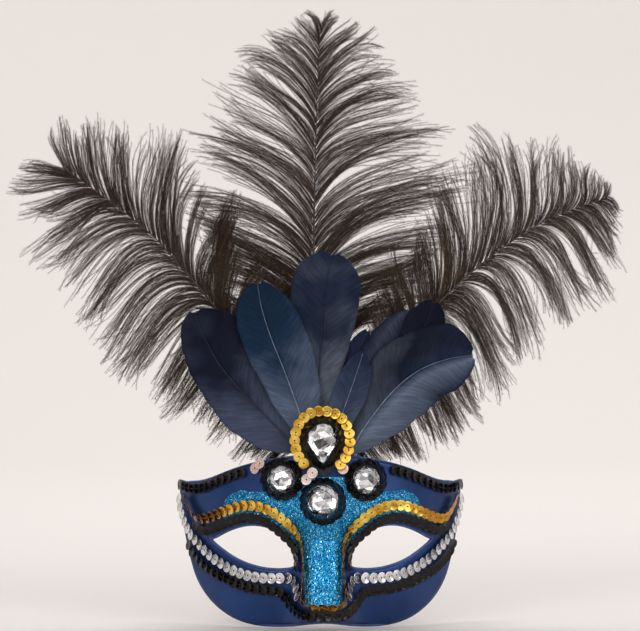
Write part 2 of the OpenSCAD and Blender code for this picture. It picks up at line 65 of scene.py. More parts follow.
# ---- general helpers ----

def mm(points):
    return np.asarray(points, float) * MM


def ease(a, b, x):
    t = np.clip((np.asarray(x, float) - a) / (b - a), 0, 1)
    return t * t * (3 - 2 * t)


def unit(v):
    v = np.asarray(v, float)
    return v / np.maximum(np.linalg.norm(v, axis=-1, keepdims=True), 1e-12)


def smooth_line(points, steps=6):
    """A smooth curve through points, the same as the CAD draws."""
    p = np.asarray(points, float)
    last = len(p) - 1
    out = []
    for i in range(last):
        a, b, c, d = p[max(i - 1, 0)], p[i], p[i + 1], p[min(i + 2, last)]
        for j in range(steps):
            t = j / steps
            out.append((2 * b + (c - a) * t + (2 * a - 5 * b + 4 * c - d) * t * t
                        + (3 * b - a - 3 * c + d) * t ** 3) / 2)
    return np.array(out + [p[-1]])


def shares(line):
    """How far along its length each point of a line lies, from 0 to 1, and the length."""
    run = np.concatenate([[0], np.cumsum(np.linalg.norm(np.diff(line, axis=0), axis=1))])
    return run / run[-1], run[-1]


def along(line, s):
    at, _ = shares(line)
    return np.stack([np.interp(s, at, line[:, k]) for k in range(line.shape[1])], axis=-1)


def linked(name, data):
    """An object in the scene that shows a mesh, a lamp or a camera."""
    obj = bpy.data.objects.new(name, data)
    bpy.context.scene.collection.objects.link(obj)
    return obj


def shown(name, mesh, looks, stands_for=()):
    """Shows a mesh as a piece that rides on the mask, in the place of the CAD nodes it stands for."""
    for look in looks:
        mesh.materials.append(look)
    obj = linked(name, mesh)
    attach(obj, "root")
    if stands_for:
        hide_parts(*stands_for)
    return obj


def piece(name, points, faces, looks, stands_for=(), uv=None, face_material=None,
          smooth=True):
    """Makes a piece from points and faces. face_material says which look each face has."""
    mesh = bpy.data.meshes.new(name)
    mesh.from_pydata([tuple(p) for p in points], [], [tuple(f) for f in faces])
    obj = shown(name, mesh, looks, stands_for)
    if face_material is not None:
        mesh.polygons.foreach_set("material_index", np.asarray(face_material, np.int32))
    mesh.polygons.foreach_set("use_smooth", np.full(len(mesh.polygons), smooth))
    if uv is not None:
        corner = np.empty(len(mesh.loops), np.int32)
        mesh.loops.foreach_get("vertex_index", corner)
        mesh.uv_layers.new(name="vane").data.foreach_set("uv", np.asarray(uv)[corner].ravel())
    mesh.update()
    return obj


def edited_piece(name, bm, looks, node):
    """Makes a piece from a CAD node's mesh that has been edited."""
    mesh = bpy.data.meshes.new(name)
    bm.to_mesh(mesh)
    bm.free()
    return shown(name, mesh, looks, [node])


def applied(obj):
    """Turns an object's modifiers into plain mesh."""
    graph = bpy.context.evaluated_depsgraph_get()
    mesh = bpy.data.meshes.new_from_object(obj.evaluated_get(graph))
    obj.modifiers.clear()
    old = obj.data
    obj.data = mesh
    mesh.name = obj.name
    bpy.data.meshes.remove(old)
    return obj


def ring_faces(rings, around, closed=False):
    """Faces between one ring of points and the next, each ring with the same count of points."""
    faces = []
    for i in range(rings if closed else rings - 1):
        a, b = i * around, (i + 1) % rings * around
        faces += [(a + k, a + (k + 1) % around, b + (k + 1) % around, b + k) for k in range(around)]
    return faces


def caps(rings, around):
    """The two end faces of a row of rings."""
    last = (rings - 1) * around
    return [tuple(range(around))[::-1], tuple(last + k for k in range(around))]


def thickened(obj, thickness):
    """Gives a sheet its thickness, half to each side."""
    solid = obj.modifiers.new("thickness", "SOLIDIFY")
    solid.thickness, solid.offset = thickness, 0
    return applied(obj)


def tube(line, radii, sides=8, closed=False):
    """Points and faces of a round tube along a line."""
    line = np.asarray(line, float)
    n = len(line)
    radii = np.broadcast_to(np.asarray(radii, float), (n,))
    if closed:
        ahead = np.roll(line, -1, 0) - np.roll(line, 1, 0)
    else:
        ahead = np.gradient(line, axis=0)
    ahead = unit(ahead)
    side = np.cross(ahead, [0.13, 1, 0.07])
    weak = np.linalg.norm(side, axis=1) < 0.2
    side[weak] = np.cross(ahead[weak], [1, 0.1, 0])
    side = unit(side)
    up = np.cross(side, ahead)
    turn = np.linspace(0, 2 * math.pi, sides, endpoint=False)
    ring = np.cos(turn)[None, :, None] * side[:, None] + np.sin(turn)[None, :, None] * up[:, None]
    points = (line[:, None] + ring * radii[:, None, None]).reshape(-1, 3)
    return points, ring_faces(n, sides, closed) + ([] if closed else caps(n, sides))


def joined(parts):
    """One list of points and one of faces from several."""
    points, faces, start = [], [], 0
    for p, f in parts:
        points.append(p)
        faces += [tuple(start + k for k in face) for face in f]
        start += len(p)
    return np.concatenate(points), faces


def cad_mesh(name):
    """A merged copy of a CAD node's mesh, with its triangles joined to quads where they fit."""
    bm = bmesh.new()
    bm.from_mesh(nodes[name].data)
    bmesh.ops.remove_doubles(bm, verts=bm.verts, dist=2e-6)
    bmesh.ops.join_triangles(bm, faces=bm.faces, angle_face_threshold=0.6,
                             angle_shape_threshold=1.2)
    return bm


# ---- materials ----

def material(name, colour, roughness, **more):
    """A Principled material. A name in more has underscores for spaces, such as Coat_Weight."""
    mat = bpy.data.materials.new(name)
    mat.use_nodes = True
    shader = mat.node_tree.nodes["Principled BSDF"]
    shader.inputs["Base Color"].default_value = (*colour, 1)
    shader.inputs["Roughness"].default_value = roughness
    for key, value in more.items():
        shader.inputs[key.replace("_", " ")].default_value = value
    return mat


def add(mat, kind, inputs=None, **settings):
    made = mat.node_tree.nodes.new("ShaderNode" + kind)
    for key, value in settings.items():
        setattr(made, key, value)
    for key, value in (inputs or {}).items():
        if isinstance(value, bpy.types.NodeSocket):
            mat.node_tree.links.new(value, made.inputs[key])
        else:
            made.inputs[key].default_value = value
    return made


def feed(mat, socket, output):
    mat.node_tree.links.new(output, mat.node_tree.nodes["Principled BSDF"].inputs[socket])


def place(mat):
    return add(mat, "TexCoord").outputs["Object"]


def noise(mat, vector, scale, detail, roughness=0.55):
    made = add(mat, "TexNoise", {"Vector": vector, "Scale": scale, "Detail": detail,
                                 "Roughness": roughness})
    return made.outputs["Fac"]


def ramp(mat, value, stops):
    """A colour for each value, from stops of a position and a colour."""
    made = add(mat, "ValToRGB", {"Fac": value})
    elements = made.color_ramp.elements
    while len(elements) < len(stops):
        elements.new(0.5)
    for element, (at, colour) in zip(elements, stops):
        element.position = at
        element.color = (*colour, 1) if len(colour) == 3 else colour
    return made.outputs["Color"]


def grain(mat, scale, detail, roughness=0.55):
    """A noise over the object's own coordinates."""
    return noise(mat, place(mat), scale, detail, roughness)


def mottled(mat, scale, detail, stops, roughness=0.55):
    """Colours the surface by a noise, which it also gives back."""
    made = grain(mat, scale, detail, roughness)
    feed(mat, "Base Color", ramp(mat, made, stops))
    return made


def grey(value):
    return (value, value, value)


def blend(mat, share, a, b, kind="MIX"):
    made = add(mat, "Mix", data_type="RGBA", blend_type=kind)
    for socket, value in ((made.inputs[0], share), (made.inputs[6], a), (made.inputs[7], b)):
        if isinstance(value, bpy.types.NodeSocket):
            mat.node_tree.links.new(value, socket)
        else:
            socket.default_value = value if isinstance(value, float) else (*value, 1)
    return made.outputs[2]


def spread(mat, value, low, high):
    """A value from 0 to 1 spread from low to high."""
    made = add(mat, "MapRange", {"Value": value, "To Min": low, "To Max": high})
    return made.outputs["Result"]


def roughened(mat, value, low, high):
    feed(mat, "Roughness", spread(mat, value, low, high))


def bumped(mat, height, strength, depth):
    made = add(mat, "Bump", {"Height": height, "Strength": strength, "Distance": depth})
    feed(mat, "Normal", made.outputs["Normal"])


def shell_paint():
    mat = material("shell_paint", (0.02, 0.05, 0.2), 0.34, Metallic=0.6, Coat_Weight=0.06,
                   Coat_Roughness=0.3)
    mottled(mat, 45, 2, [(0.3, (0.009, 0.033, 0.13)), (0.7, (0.016, 0.055, 0.2))])
    texture = grain(mat, 900, 4)
    roughened(mat, texture, 0.3, 0.42)
    bumped(mat, texture, 0.12, 0.00012)
    return mat


def shell_inside():
    mat = material("shell_inside", (0.03, 0.05, 0.12), 0.55)
    mottled(mat, 120, 5, [(0.35, (0.016, 0.026, 0.075)), (0.65, (0.035, 0.055, 0.13))], 0.7)
    texture = grain(mat, 1500, 3)
    roughened(mat, texture, 0.45, 0.7)
    bumped(mat, texture, 0.25, 0.0001)
    return mat


def rim_paint():
    mat = material("rim_paint", (0.03, 0.07, 0.25), 0.34, Metallic=0.3, Coat_Weight=0.25,
                   Coat_Roughness=0.25)
    wear = [(0.35, (0.02, 0.045, 0.17)), (0.6, (0.045, 0.09, 0.28)), (0.78, (0.12, 0.19, 0.42))]
    mottled(mat, 260, 5, wear, 0.7)
    return mat


def sequin_film(name, dark, light, roughness, metallic, **more):
    """Metallised plastic film: fine brushed marks, a little colour change from disc to disc."""
    mat = material(name, light, roughness, Metallic=metallic, **more)
    mottled(mat, 190, 1, [(0.38, dark), (0.62, light)])
    marks = grain(mat, 2600, 2)
    roughened(mat, marks, roughness * 0.75, roughness * 1.35)
    return mat


def gold_film():
    """Gold film with painted shade: it turns to dark amber towards the temples and down the sides of the
    nose, where the discs turn away from the light.
    """
    mat = sequin_film("gold_film", (0.6, 0.32, 0.03), (0.95, 0.66, 0.13), 0.19, 0.95)
    colour = mat.node_tree.nodes["Principled BSDF"].inputs["Base Color"].links[0].from_socket
    at = add(mat, "SeparateXYZ", {"Vector": place(mat)})
    side = add(mat, "Math", {0: at.outputs["X"]}, operation="ABSOLUTE")
    # Painted shade: the gold darkens to amber towards the temples and down the nose, standing in for the
    # darker reflections of discs turned edge-on there.
    temple = add(mat, "MapRange", {"Value": side.outputs[0], "From Min": 0.046, "From Max": 0.06})
    nose = add(mat, "MapRange", {"Value": at.outputs["Z"], "From Min": 0.004, "From Max": -0.008})
    painted_edge_shade = add(mat, "Math", {0: temple.outputs[0], 1: nose.outputs[0]}, operation="MAXIMUM")
    share = spread(mat, painted_edge_shade.outputs[0], 0.0, 0.75)
    feed(mat, "Base Color", blend(mat, share, colour, (0.42, 0.17, 0.02)))
    return mat


def thread_yarn(name, colour):
    mat = material(name, colour, 0.7, Sheen_Weight=0.3)
    twist = add(mat, "TexWave", {"Vector": place(mat), "Scale": 1400, "Distortion": 2})
    shade = tuple(0.6 * c for c in colour)
    feed(mat, "Base Color", ramp(mat, twist.outputs["Fac"], [(0.2, shade), (0.8, colour)]))
    return mat


def glitter_base():
    """Turquoise lacquer full of fine flakes."""
    mat = material("glitter_base", (0.0, 0.25, 0.5), 0.35, Metallic=0.8)
    cells = add(mat, "TexVoronoi", {"Vector": place(mat), "Scale": 2600})
    shade = add(mat, "SeparateColor", {"Color": cells.outputs["Color"]})
    feed(mat, "Base Color", ramp(mat, shade.outputs[0], [
        (0.05, (0.0, 0.05, 0.2)), (0.35, (0.0, 0.15, 0.38)), (0.65, (0.003, 0.28, 0.56)),
        (0.9, (0.03, 0.5, 0.75)), (0.99, (0.45, 0.82, 0.95))]))
    roughened(mat, shade.outputs[1], 0.18, 0.5)
    return mat


def hot_glue():
    mat = material("hot_glue", (0.7, 0.64, 0.5), 0.3, Subsurface_Weight=0.4, Subsurface_Scale=0.003)
    mottled(mat, 500, 4, [(0.3, (0.55, 0.49, 0.36)), (0.7, (0.78, 0.73, 0.6))])
    bumped(mat, grain(mat, 900, 2), 0.2, 0.0003)
    return mat


def black_card():
    mat = material("black_card", (0.02, 0.02, 0.025), 0.8)
    pulp = mottled(mat, 1300, 5, [(0.3, (0.012, 0.012, 0.016)), (0.7, (0.04, 0.04, 0.045))], 0.7)
    bumped(mat, pulp, 0.3, 0.0001)
    return mat


def black_felt():
    mat = material("black_felt", (0.012, 0.012, 0.016), 0.95, Sheen_Weight=0.5, Sheen_Roughness=0.5)
    fibres = grain(mat, 1700, 6, 0.75)
    clumps = grain(mat, 350, 3)
    colour = ramp(mat, fibres, [(0.3, (0.006, 0.006, 0.009)), (0.72, (0.035, 0.035, 0.045))])
    shade = ramp(mat, clumps, [(0.3, grey(0.3)), (0.7, grey(1.0))])
    feed(mat, "Base Color", blend(mat, 0.5, colour, shade, "MULTIPLY"))
    bumped(mat, fibres, 0.7, 0.0003)
    return mat


def foil(name, dark, light):
    mat = material(name, light, 0.12, Metallic=1.0)
    crinkle = grain(mat, 1500, 3)
    roughened(mat, crinkle, 0.06, 0.22)
    mottled(mat, 420, 2, [(0.35, dark), (0.6, light)])
    return mat


def clear_stone():
    return material("gem_clear", (0.97, 0.98, 1.0), 0.02, Transmission_Weight=1.0, IOR=1.49,
                    Specular_IOR_Level=0.6)


def vane_lines(mat, vane, scale, detail, stops, colour, share):
    """Darkens a vane's colour along streaks that follow its barbs, and gives the streaks back too."""
    stretched = add(mat, "Mapping", {"Vector": vane, "Scale": scale}).outputs["Vector"]
    streak = noise(mat, stretched, 1, detail)
    return blend(mat, share, colour, ramp(mat, streak, stops), "MULTIPLY"), streak


def vane_look(name, low, middle, tip, painted_sheen_right=0.0, painted_sheen_left=0.0, painted_shade_left=1.0):
    """Dyed goose vane. Its u runs from the left edge over the shaft (0.5) to the right edge, and its
    v from the foot to the tip. low, middle and tip are its colours along v. The two sheen arguments
    say how much painted sheen lies beside the shaft on the right and on the left, and the shade
    argument darkens the left side with painted shade."""
    mat = material(name, middle, 0.48, Sheen_Weight=0.03, Sheen_Roughness=0.35,
                   Sheen_Tint=(0.7, 0.8, 1.0, 1), Specular_IOR_Level=0.1)
    vane = add(mat, "UVMap", uv_map="vane").outputs["UV"]
    at = add(mat, "SeparateXYZ", {"Vector": vane})
    uneven = spread(mat, grain(mat, 70, 3), -0.16, 0.16)
    height = add(mat, "Math", {0: at.outputs["Y"], 1: uneven}, operation="ADD")
    colour = ramp(mat, height.outputs[0], [(0.34, low), (0.6, middle), (0.86, tip)])
    # Pale patches at random places over the vane, partly uneven dye and partly painted sheen.
    dye_and_sheen_patch = ramp(mat, grain(mat, 38, 2), [(0.48, grey(0.0)), (0.7, grey(0.6))])
    colour = blend(mat, dye_and_sheen_patch, colour, tuple(0.35 * c + 0.65 * m for c, m in zip(low, middle)))
    # Painted sheen: a paler band beside the shaft, on the left, the right or both, where light catches
    # the vane.
    if painted_sheen_right or painted_sheen_left:
        side = ramp(mat, at.outputs["X"], [
            (0.03, grey(0.0)), (0.2, grey(painted_sheen_left)), (0.46, grey(0.0)),
            (0.5, grey(0.0)), (0.62, grey(painted_sheen_right)), (0.98, grey(0.0))])
        colour = blend(mat, side, colour, tuple(1.7 * c + 0.015 for c in low))
    # Painted shade: the left side of the vane is darkened, as if turned away from the light.
    if painted_shade_left < 1:
        side = ramp(mat, at.outputs["X"], [(0.3, grey(painted_shade_left)), (0.48, grey(1.0))])
        colour = blend(mat, 1.0, colour, side, "MULTIPLY")
    fine, broad = [(0.3, grey(0.5)), (0.7, grey(1.0))], [(0.32, grey(0.55)), (0.68, grey(1.0))]
    colour, streak = vane_lines(mat, vane, (5, 260, 1), 3, fine, colour, 1.0)
    colour, _ = vane_lines(mat, vane, (2, 42, 1), 2, broad, colour, 0.7)
    feed(mat, "Base Color", blend(mat, 1.0, colour, grey(1.35), "MULTIPLY"))
    roughened(mat, streak, 0.4, 0.6)
    bumped(mat, streak, 0.5, 0.0002)
    return mat


def shaft_look(name, low, high):
    mat = material(name, high, 0.4, Coat_Weight=0.2)
    mottled(mat, 300, 4, [(0.35, low), (0.65, high)])
    return mat


def barb_look():
    mat = material("ostrich_barb", (0.018, 0.012, 0.008), 0.55, Specular_IOR_Level=0.2)
    mottled(mat, 60, 4, [(0.3, (0.011, 0.0065, 0.004)), (0.7, (0.048, 0.03, 0.017))])
    return mat


# ---- shell ----

FACE_MIDDLE = Vector((0, 0.089, 0))      # the face curve's centre, seen from above
SHARP = 0.65                             # a shell edge that turns by more than this stays crisp
RIM_R = 0.82 * MM                        # radius of the rounded rim, a little over half the wall
SHORTEST_RIM = 60 * MM                   # a shorter border is a strap hole's, which has no rim


def outward(point):
    way = Vector((point[0], point[1] - FACE_MIDDLE.y, 0))
    return way.normalized()


def borders(bm, facing):
    """The closed border lines of the part of the shell that faces out (1) or in (-1)."""
    region = {f for f in bm.faces if facing * f.normal.dot(outward(f.calc_center_median())) > 0.4}
    beside = {}
    for edge in bm.edges:
        if sum(face in region for face in edge.link_faces) == 1:
            for a, b in ((edge.verts[0], edge.verts[1]), (edge.verts[1], edge.verts[0])):
                beside.setdefault(a, []).append(b)
    left = {v for v, others in beside.items() if len(others) == 2}
    loops = []
    for first in sorted(left, key=lambda v: v.index):
        loop, here = [], first
        while here in left:
            left.remove(here)
            loop.append(here.co[:])
            here = next((v for v in beside[here] if v in left), None)
        if len(loop) > 2 and np.linalg.norm(np.diff(loop, axis=0), axis=1).sum() > SHORTEST_RIM:
            loops.append(np.array(loop))
    return loops


def rim_lines(bm):
    """Lines down the middle of the wall's bare edge: round each eye hole and round the outline."""
    inside = np.concatenate(borders(bm, -1))
    lines = []
    for front in borders(bm, 1):
        gap = np.linalg.norm(front[:, None] - inside[None], axis=2)
        line = (front + inside[gap.argmin(1)]) / 2
        for _ in range(3):
            line = 0.5 * line + 0.25 * (np.roll(line, 1, 0) + np.roll(line, -1, 0))
        lines.append(line)
    return lines


def shell():
    bm = cad_mesh("mask_shell")
    crease = bm.edges.layers.float.new("crease_edge")
    for edge in bm.edges:
        if len(edge.link_faces) == 2 and edge.calc_face_angle(0) > SHARP:
            edge[crease] = 1
    lines = rim_lines(bm)
    for face in bm.faces:
        front = face.normal.dot(outward(face.calc_center_median())) > 0
        face.material_index = 0 if front else 1
        face.smooth = True
    obj = edited_piece("shell", bm, [shell_paint(), shell_inside()], "mask_shell")
    obj.modifiers.new("round", "SUBSURF").levels = 1
    applied(obj)
    points, faces = joined([tube(line, RIM_R, 10, closed=True) for line in lines])
    piece("shell_rim", points, faces, [rim_paint()])


def glitter():
    """The coat as a crust of small facets that each catch the light their own way."""
    sparks, deeps = 0.045, 0.155             # shares of bright and of dark flakes
    rng = random.Random(4)
    bm = cad_mesh("glitter_coat")
    top = [f for f in bm.faces if f.normal.dot(outward(f.calc_center_median())) > 0.3
           and f.calc_area() > 0.05 * MM * MM]
    edges = list({e for f in top for e in f.edges})
    bmesh.ops.subdivide_edges(bm, edges=edges, cuts=5, use_grid_fill=True)
    bmesh.ops.triangulate(bm, faces=bm.faces)
    bm.normal_update()
    for vert in bm.verts:
        out = outward(vert.co)
        if all(f.normal.dot(out) > 0.2 for f in vert.link_faces):
            vert.co += vert.normal * rng.uniform(-0.07, 0.11) * MM
            vert.co += Vector([rng.uniform(-0.09, 0.09) * MM for _ in range(3)])
    for face in bm.faces:
        draw = rng.random()
        face.material_index = 1 if draw < sparks else 2 if draw < sparks + deeps else 0
    looks = [glitter_base(), material("glitter_spark", (0.35, 0.85, 1.0), 0.15, Metallic=0.9),
             material("glitter_deep", (0.0, 0.07, 0.32), 0.22, Metallic=0.9)]
    edited_piece("glitter", bm, looks, "glitter_coat")


# ---- sequins ----

SEQUIN_R = 3.0 * MM
# Section of a cup sequin from its hole to its rim: radius and height in mm
CUP = [(0.42, 0.03), (0.8, 0.0), (1.7, 0.04), (2.55, 0.26), (3.0, 0.4)]
FLAT = [(0.42, 0.03), (0.85, 0.0), (1.8, 0.0), (2.6, 0.03), (3.0, 0.1)]
FILM = 0.1                       # thickness of the film in mm
SUNK = 0.12                      # how far the cup's foot lies under the CAD disc's middle, in mm
SEGMENTS = 20


def plane_of(points):
    """The middle of some points and the normal of the plane they lie nearest to."""
    middle = points.mean(0)
    normal = np.linalg.svd(points - middle)[2][2]
    return middle, normal


def discs(name):
    """Centre and normal of each sequin in a CAD node."""
    bm = bmesh.new()
    bm.from_mesh(nodes[name].data)
    bmesh.ops.remove_doubles(bm, verts=bm.verts, dist=2e-6)
    found, seen = [], set()
    for start in bm.verts:
        if start in seen:
            continue
        seen.add(start)
        stack, island = [start], []
        while stack:
            vert = stack.pop()
            island.append(vert.co[:])
            for edge in vert.link_edges:
                other = edge.other_vert(vert)
                if other not in seen:
                    seen.add(other)
                    stack.append(other)
        found += parted(np.array(island))
    bm.free()
    spots = []
    for middle, normal in found:
        if Vector(normal).dot(outward(middle)) < 0:
            normal = -normal
        spots.append((middle, normal))
    return spots


def parted(points):
    """One disc, or two that touch: then each one's centre lies a radius inside its far rim."""
    middle, normal = plane_of(points)
    axis = np.linalg.svd(points - middle)[2][0]
    reach = (points - middle) @ axis
    if np.ptp(reach) < 2.4 * SEQUIN_R:
        return [(middle, normal)]
    out = []
    for sign in (-1, 1):
        half = points[reach * sign > 0.4 * SEQUIN_R]
        centre, normal = plane_of(half)
        way = unit(axis - normal * (axis @ normal)) * sign
        rim = ((half - centre) @ way).max()
        out.append((centre + way * (rim - SEQUIN_R), normal))
    return out


def in_order(spots):
    """The discs in the order in which the thread meets them, from an end of the string."""
    middles = np.array([m for m, _ in spots])
    gap = np.linalg.norm(middles[:, None] - middles[None], axis=2)
    here = int(np.argmax(np.sort(gap, axis=1)[:, 2]))
    order, left = [here], set(range(len(spots))) - {here}
    while left:
        here = min(left, key=lambda k: gap[here, k])
        left.remove(here)
        order.append(here)
    return [spots[k] for k in order]


def sequin(middle, normal, section, rng):
    """Points and faces of one sequin with its hole."""
    normal = unit(normal + [rng.uniform(-0.06, 0.06) for _ in range(3)])
    side = unit(np.cross(normal, unit([rng.uniform(-1, 1), rng.uniform(-1, 1), rng.uniform(-1, 1)])))
    up = np.cross(normal, side)
    turn = np.linspace(0, 2 * math.pi, SEGMENTS, endpoint=False)
    ring = np.cos(turn)[:, None] * side + np.sin(turn)[:, None] * up
    wave = 0.035 * np.cos(5 * turn)[:, None] * normal
    stations = section + [(r, h - FILM) for r, h in reversed(section)]
    points = [middle + (ring * r + normal * (h - SUNK) + wave * (r / 3) ** 2) * MM for r, h in stations]
    faces = []
    for i in range(len(stations)):
        a, b = i * SEGMENTS, (i + 1) % len(stations) * SEGMENTS
        faces += [(a + k, b + k, b + (k + 1) % SEGMENTS, a + (k + 1) % SEGMENTS) for k in range(SEGMENTS)]
    return np.concatenate(points), faces


def sewn_edge(spots):
    """The yarn edge of a ring of sequins, between them and the gem."""
    middles = np.array([m - n * 0.3 * MM for m, n in spots])
    centre = middles.mean(0)
    inward = [1.35 * MM * unit(centre - m) - 1.2 * MM * np.array(outward(m)) for m, _ in spots]
    return tube(np.array([m + step for (m, _), step in zip(spots, inward)]), 0.45 * MM, 7, closed=True)


def sequins(name, film, yarn, section=CUP, closed=False):
    """A string of sequins on its thread, or loose ones where yarn is None."""
    rng = random.Random(name)
    spots = in_order(discs(name))
    parts = [sequin(m, n, section, rng) for m, n in spots]
    count = sum(len(f) for _, f in parts)
    if yarn:
        line = np.array([m - n * 0.3 * MM for m, n in spots])
        parts.append(tube(line, 0.14 * MM, 5, closed=closed))
    if closed:
        parts.append(sewn_edge(spots))
    points, faces = joined(parts)
    kinds = [0] * count + [1] * (len(faces) - count)
    piece(name + "_sequins", points, faces, [film] + ([yarn] if yarn else []), [name],
          face_material=kinds)


def all_sequins():
    gold = gold_film()
    silver = sequin_film("silver_film", (0.76, 0.76, 0.78), (0.96, 0.96, 0.97), 0.22, 1.0)
    black = sequin_film("black_film", (0.004, 0.003, 0.0025), (0.01, 0.007, 0.005), 0.17, 0.0,
                        Specular_IOR_Level=0.28)
    pale = sequin_film("pale_film", (0.8, 0.56, 0.5), (0.95, 0.8, 0.76), 0.25, 0.6, Coat_Weight=0.4)
    gold_yarn = thread_yarn("gold_thread", (0.35, 0.2, 0.04))
    grey_yarn = thread_yarn("grey_thread", (0.3, 0.3, 0.32))
    black_yarn = thread_yarn("black_thread", (0.015, 0.012, 0.012))
    sequins("gold_brow_trim", gold, gold_yarn)
    sequins("teardrop_gold_loop", gold, gold_yarn, FLAT)
    for name in ("left_silver_trim", "right_silver_trim"):
        sequins(name, silver, grey_yarn)
    for name in ("left_black_eye_trim", "right_black_eye_trim", "lower_black_trim",
                 "left_top_trim", "right_top_trim"):
        sequins(name, black, black_yarn)
    for name in ("left_gem_ring", "right_gem_ring", "oval_gem_ring", "teardrop_black_loop"):
        sequins(name, black, black_yarn, closed=True)
    sequins("pale_sequins", pale, None, FLAT)


# ---- gems ----

def back_of(name):
    """A CAD gem's back: its centre, its outward normal and its outline's corners."""
    bm = cad_mesh(name)
    groups = {}
    for face in bm.faces:
        key = tuple(round(c, 2) for c in face.normal)
        groups.setdefault(key, []).append(face)
    back = max((g for k, g in groups.items() if k[1] > 0.5), key=lambda g: sum(f.calc_area() for f in g))
    corners = np.array([v.co[:] for v in {v for f in back for v in f.verts}])
    normal = -np.array(back[0].normal[:])
    bm.free()
    return corners.mean(0), normal, corners


def gem_seat(name):
    """A CAD gem's back: its centre, its normal, its side and up directions, and its outline seen
    flat, in order round the centre."""
    middle, normal, corners = back_of(name)
    side = unit(np.cross(normal, [0, 0, -1.0]))
    up = np.cross(normal, side)
    if up[2] < 0:
        side, up = -side, -up
    flat = np.stack([(corners - middle) @ side, (corners - middle) @ up], axis=1)
    return middle, normal, side, up, flat[np.argsort(np.arctan2(flat[:, 1], flat[:, 0]))]


def reach_of(outline, turn):
    """How far an outline lies from its centre in one direction."""
    way = np.array([math.cos(turn), math.sin(turn)])
    best = 0
    for a, b in zip(outline, np.roll(outline, -1, 0)):
        edge = b - a
        cross = way[0] * edge[1] - way[1] * edge[0]
        if abs(cross) > 1e-12:
            reach = (a[0] * edge[1] - a[1] * edge[0]) / cross
            share = (a[0] * way[1] - a[1] * way[0]) / cross
            if reach > 0 and -1e-6 <= share <= 1 + 1e-6:
                best = max(best, reach)
    return best


def gem_ring(seat, count, share, height, shift=0.0):
    """Points round a gem at a share of its outline and a height in mm over its back."""
    middle, normal, side, up, outline = seat
    points = []
    for k in range(count):
        turn = 2 * math.pi * (k + shift) / count + math.pi / 2
        r = reach_of(outline, turn) * share
        points.append(middle + side * r * math.cos(turn) + up * r * math.sin(turn) + normal * height * MM)
    return points


def stone(name, seat, n, height, clear):
    """The clear stone: a girdle of 2n sides, a crown of facets and a table of n sides."""
    m = 2 * n
    points = (gem_ring(seat, m, 0.99, 0.1) + gem_ring(seat, m, 1.0, 1.0)
              + gem_ring(seat, n, 0.8, 0.62 * height) + gem_ring(seat, n, 0.5, height, 0.5))
    girdle, crown, table = m, 2 * m, 2 * m + n
    faces = [tuple(reversed(range(m))), tuple(range(table, table + n))]
    for k in range(m):
        j = (k + 1) % m
        faces.append((k, j, girdle + j, girdle + k))
    for k in range(n):
        j = (k + 1) % n
        here, odd, back = girdle + 2 * k, girdle + 2 * k + 1, girdle + (2 * k - 1) % m
        faces += [(back, here, crown + k), (here, odd, crown + k), (odd, crown + j, crown + k),
                  (crown + k, crown + j, table + k), (crown + j, table + j, table + k)]
    piece(name + "_stone", points, faces, [clear], [name], smooth=False)


def foil_cup(name, seat, m, foils_and_painted_shades):
    """The foil under a stone: a low wall of m sides and a creased bed, in bright foil and in grey and
    dark copies of it that are painted shade for facets reflecting dark surroundings.
    """
    _, normal, _, _, _ = seat
    rng = random.Random(name)
    folds = 6
    rim, base = gem_ring(seat, m, 0.985, 0.9), gem_ring(seat, m, 0.985, 0.14)
    peak = [seat[0] + normal * 1.6 * MM]
    bed = [p + normal * rng.uniform(0, 0.9) * MM for p in gem_ring(seat, folds, 0.5, 0.35, 0.75)]
    bed_at, top = 2 * m, 2 * m + folds
    faces, kinds = [tuple(reversed(range(m, 2 * m)))], [0]
    near = [int(np.argmin([np.linalg.norm(b - (rim[k] + rim[(k + 1) % m]) / 2) for b in bed]))
            for k in range(m)]
    for k in range(m):
        j = (k + 1) % m
        faces += [(m + k, m + j, j, k), (k, j, bed_at + near[k])]
        kinds += [0, rng.choice((0, 0, 0, 1, 2))]
        if near[k] != near[j]:
            faces.append((j, bed_at + near[j], bed_at + near[k]))
            kinds.append(rng.choice((0, 0, 1)))
    for k in range(folds):
        faces.append((bed_at + k, bed_at + (k + 1) % folds, top))
        kinds.append(rng.choice((0, 0, 0, 1, 2)))
    piece(name + "_foil", rim + base + bed + peak, faces, foils_and_painted_shades, face_material=kinds, smooth=False)


def gems():
    clear = clear_stone()
    # The grey and the dark foil are painted shade: darker copies of the bright foil, for facets of the
    # stone that reflect dark surroundings.
    foils_and_painted_shades = [foil("foil_bright", (0.85, 0.86, 0.88), (0.98, 0.98, 0.99)),
             foil("foil_painted_grey", (0.45, 0.46, 0.48), (0.68, 0.69, 0.71)),
             foil("foil_painted_dark", (0.07, 0.07, 0.075), (0.2, 0.2, 0.21))]
    for name, sides, height in (("left_round_gem", 8, 5.4), ("right_round_gem", 8, 5.4),
                                ("oval_gem", 8, 5.9), ("teardrop_gem", 9, 6.4)):
        seat = gem_seat(name)
        stone(name, seat, sides, height, clear)
        foil_cup(name, seat, 2 * sides, foils_and_painted_shades)


# ---- goose feathers ----

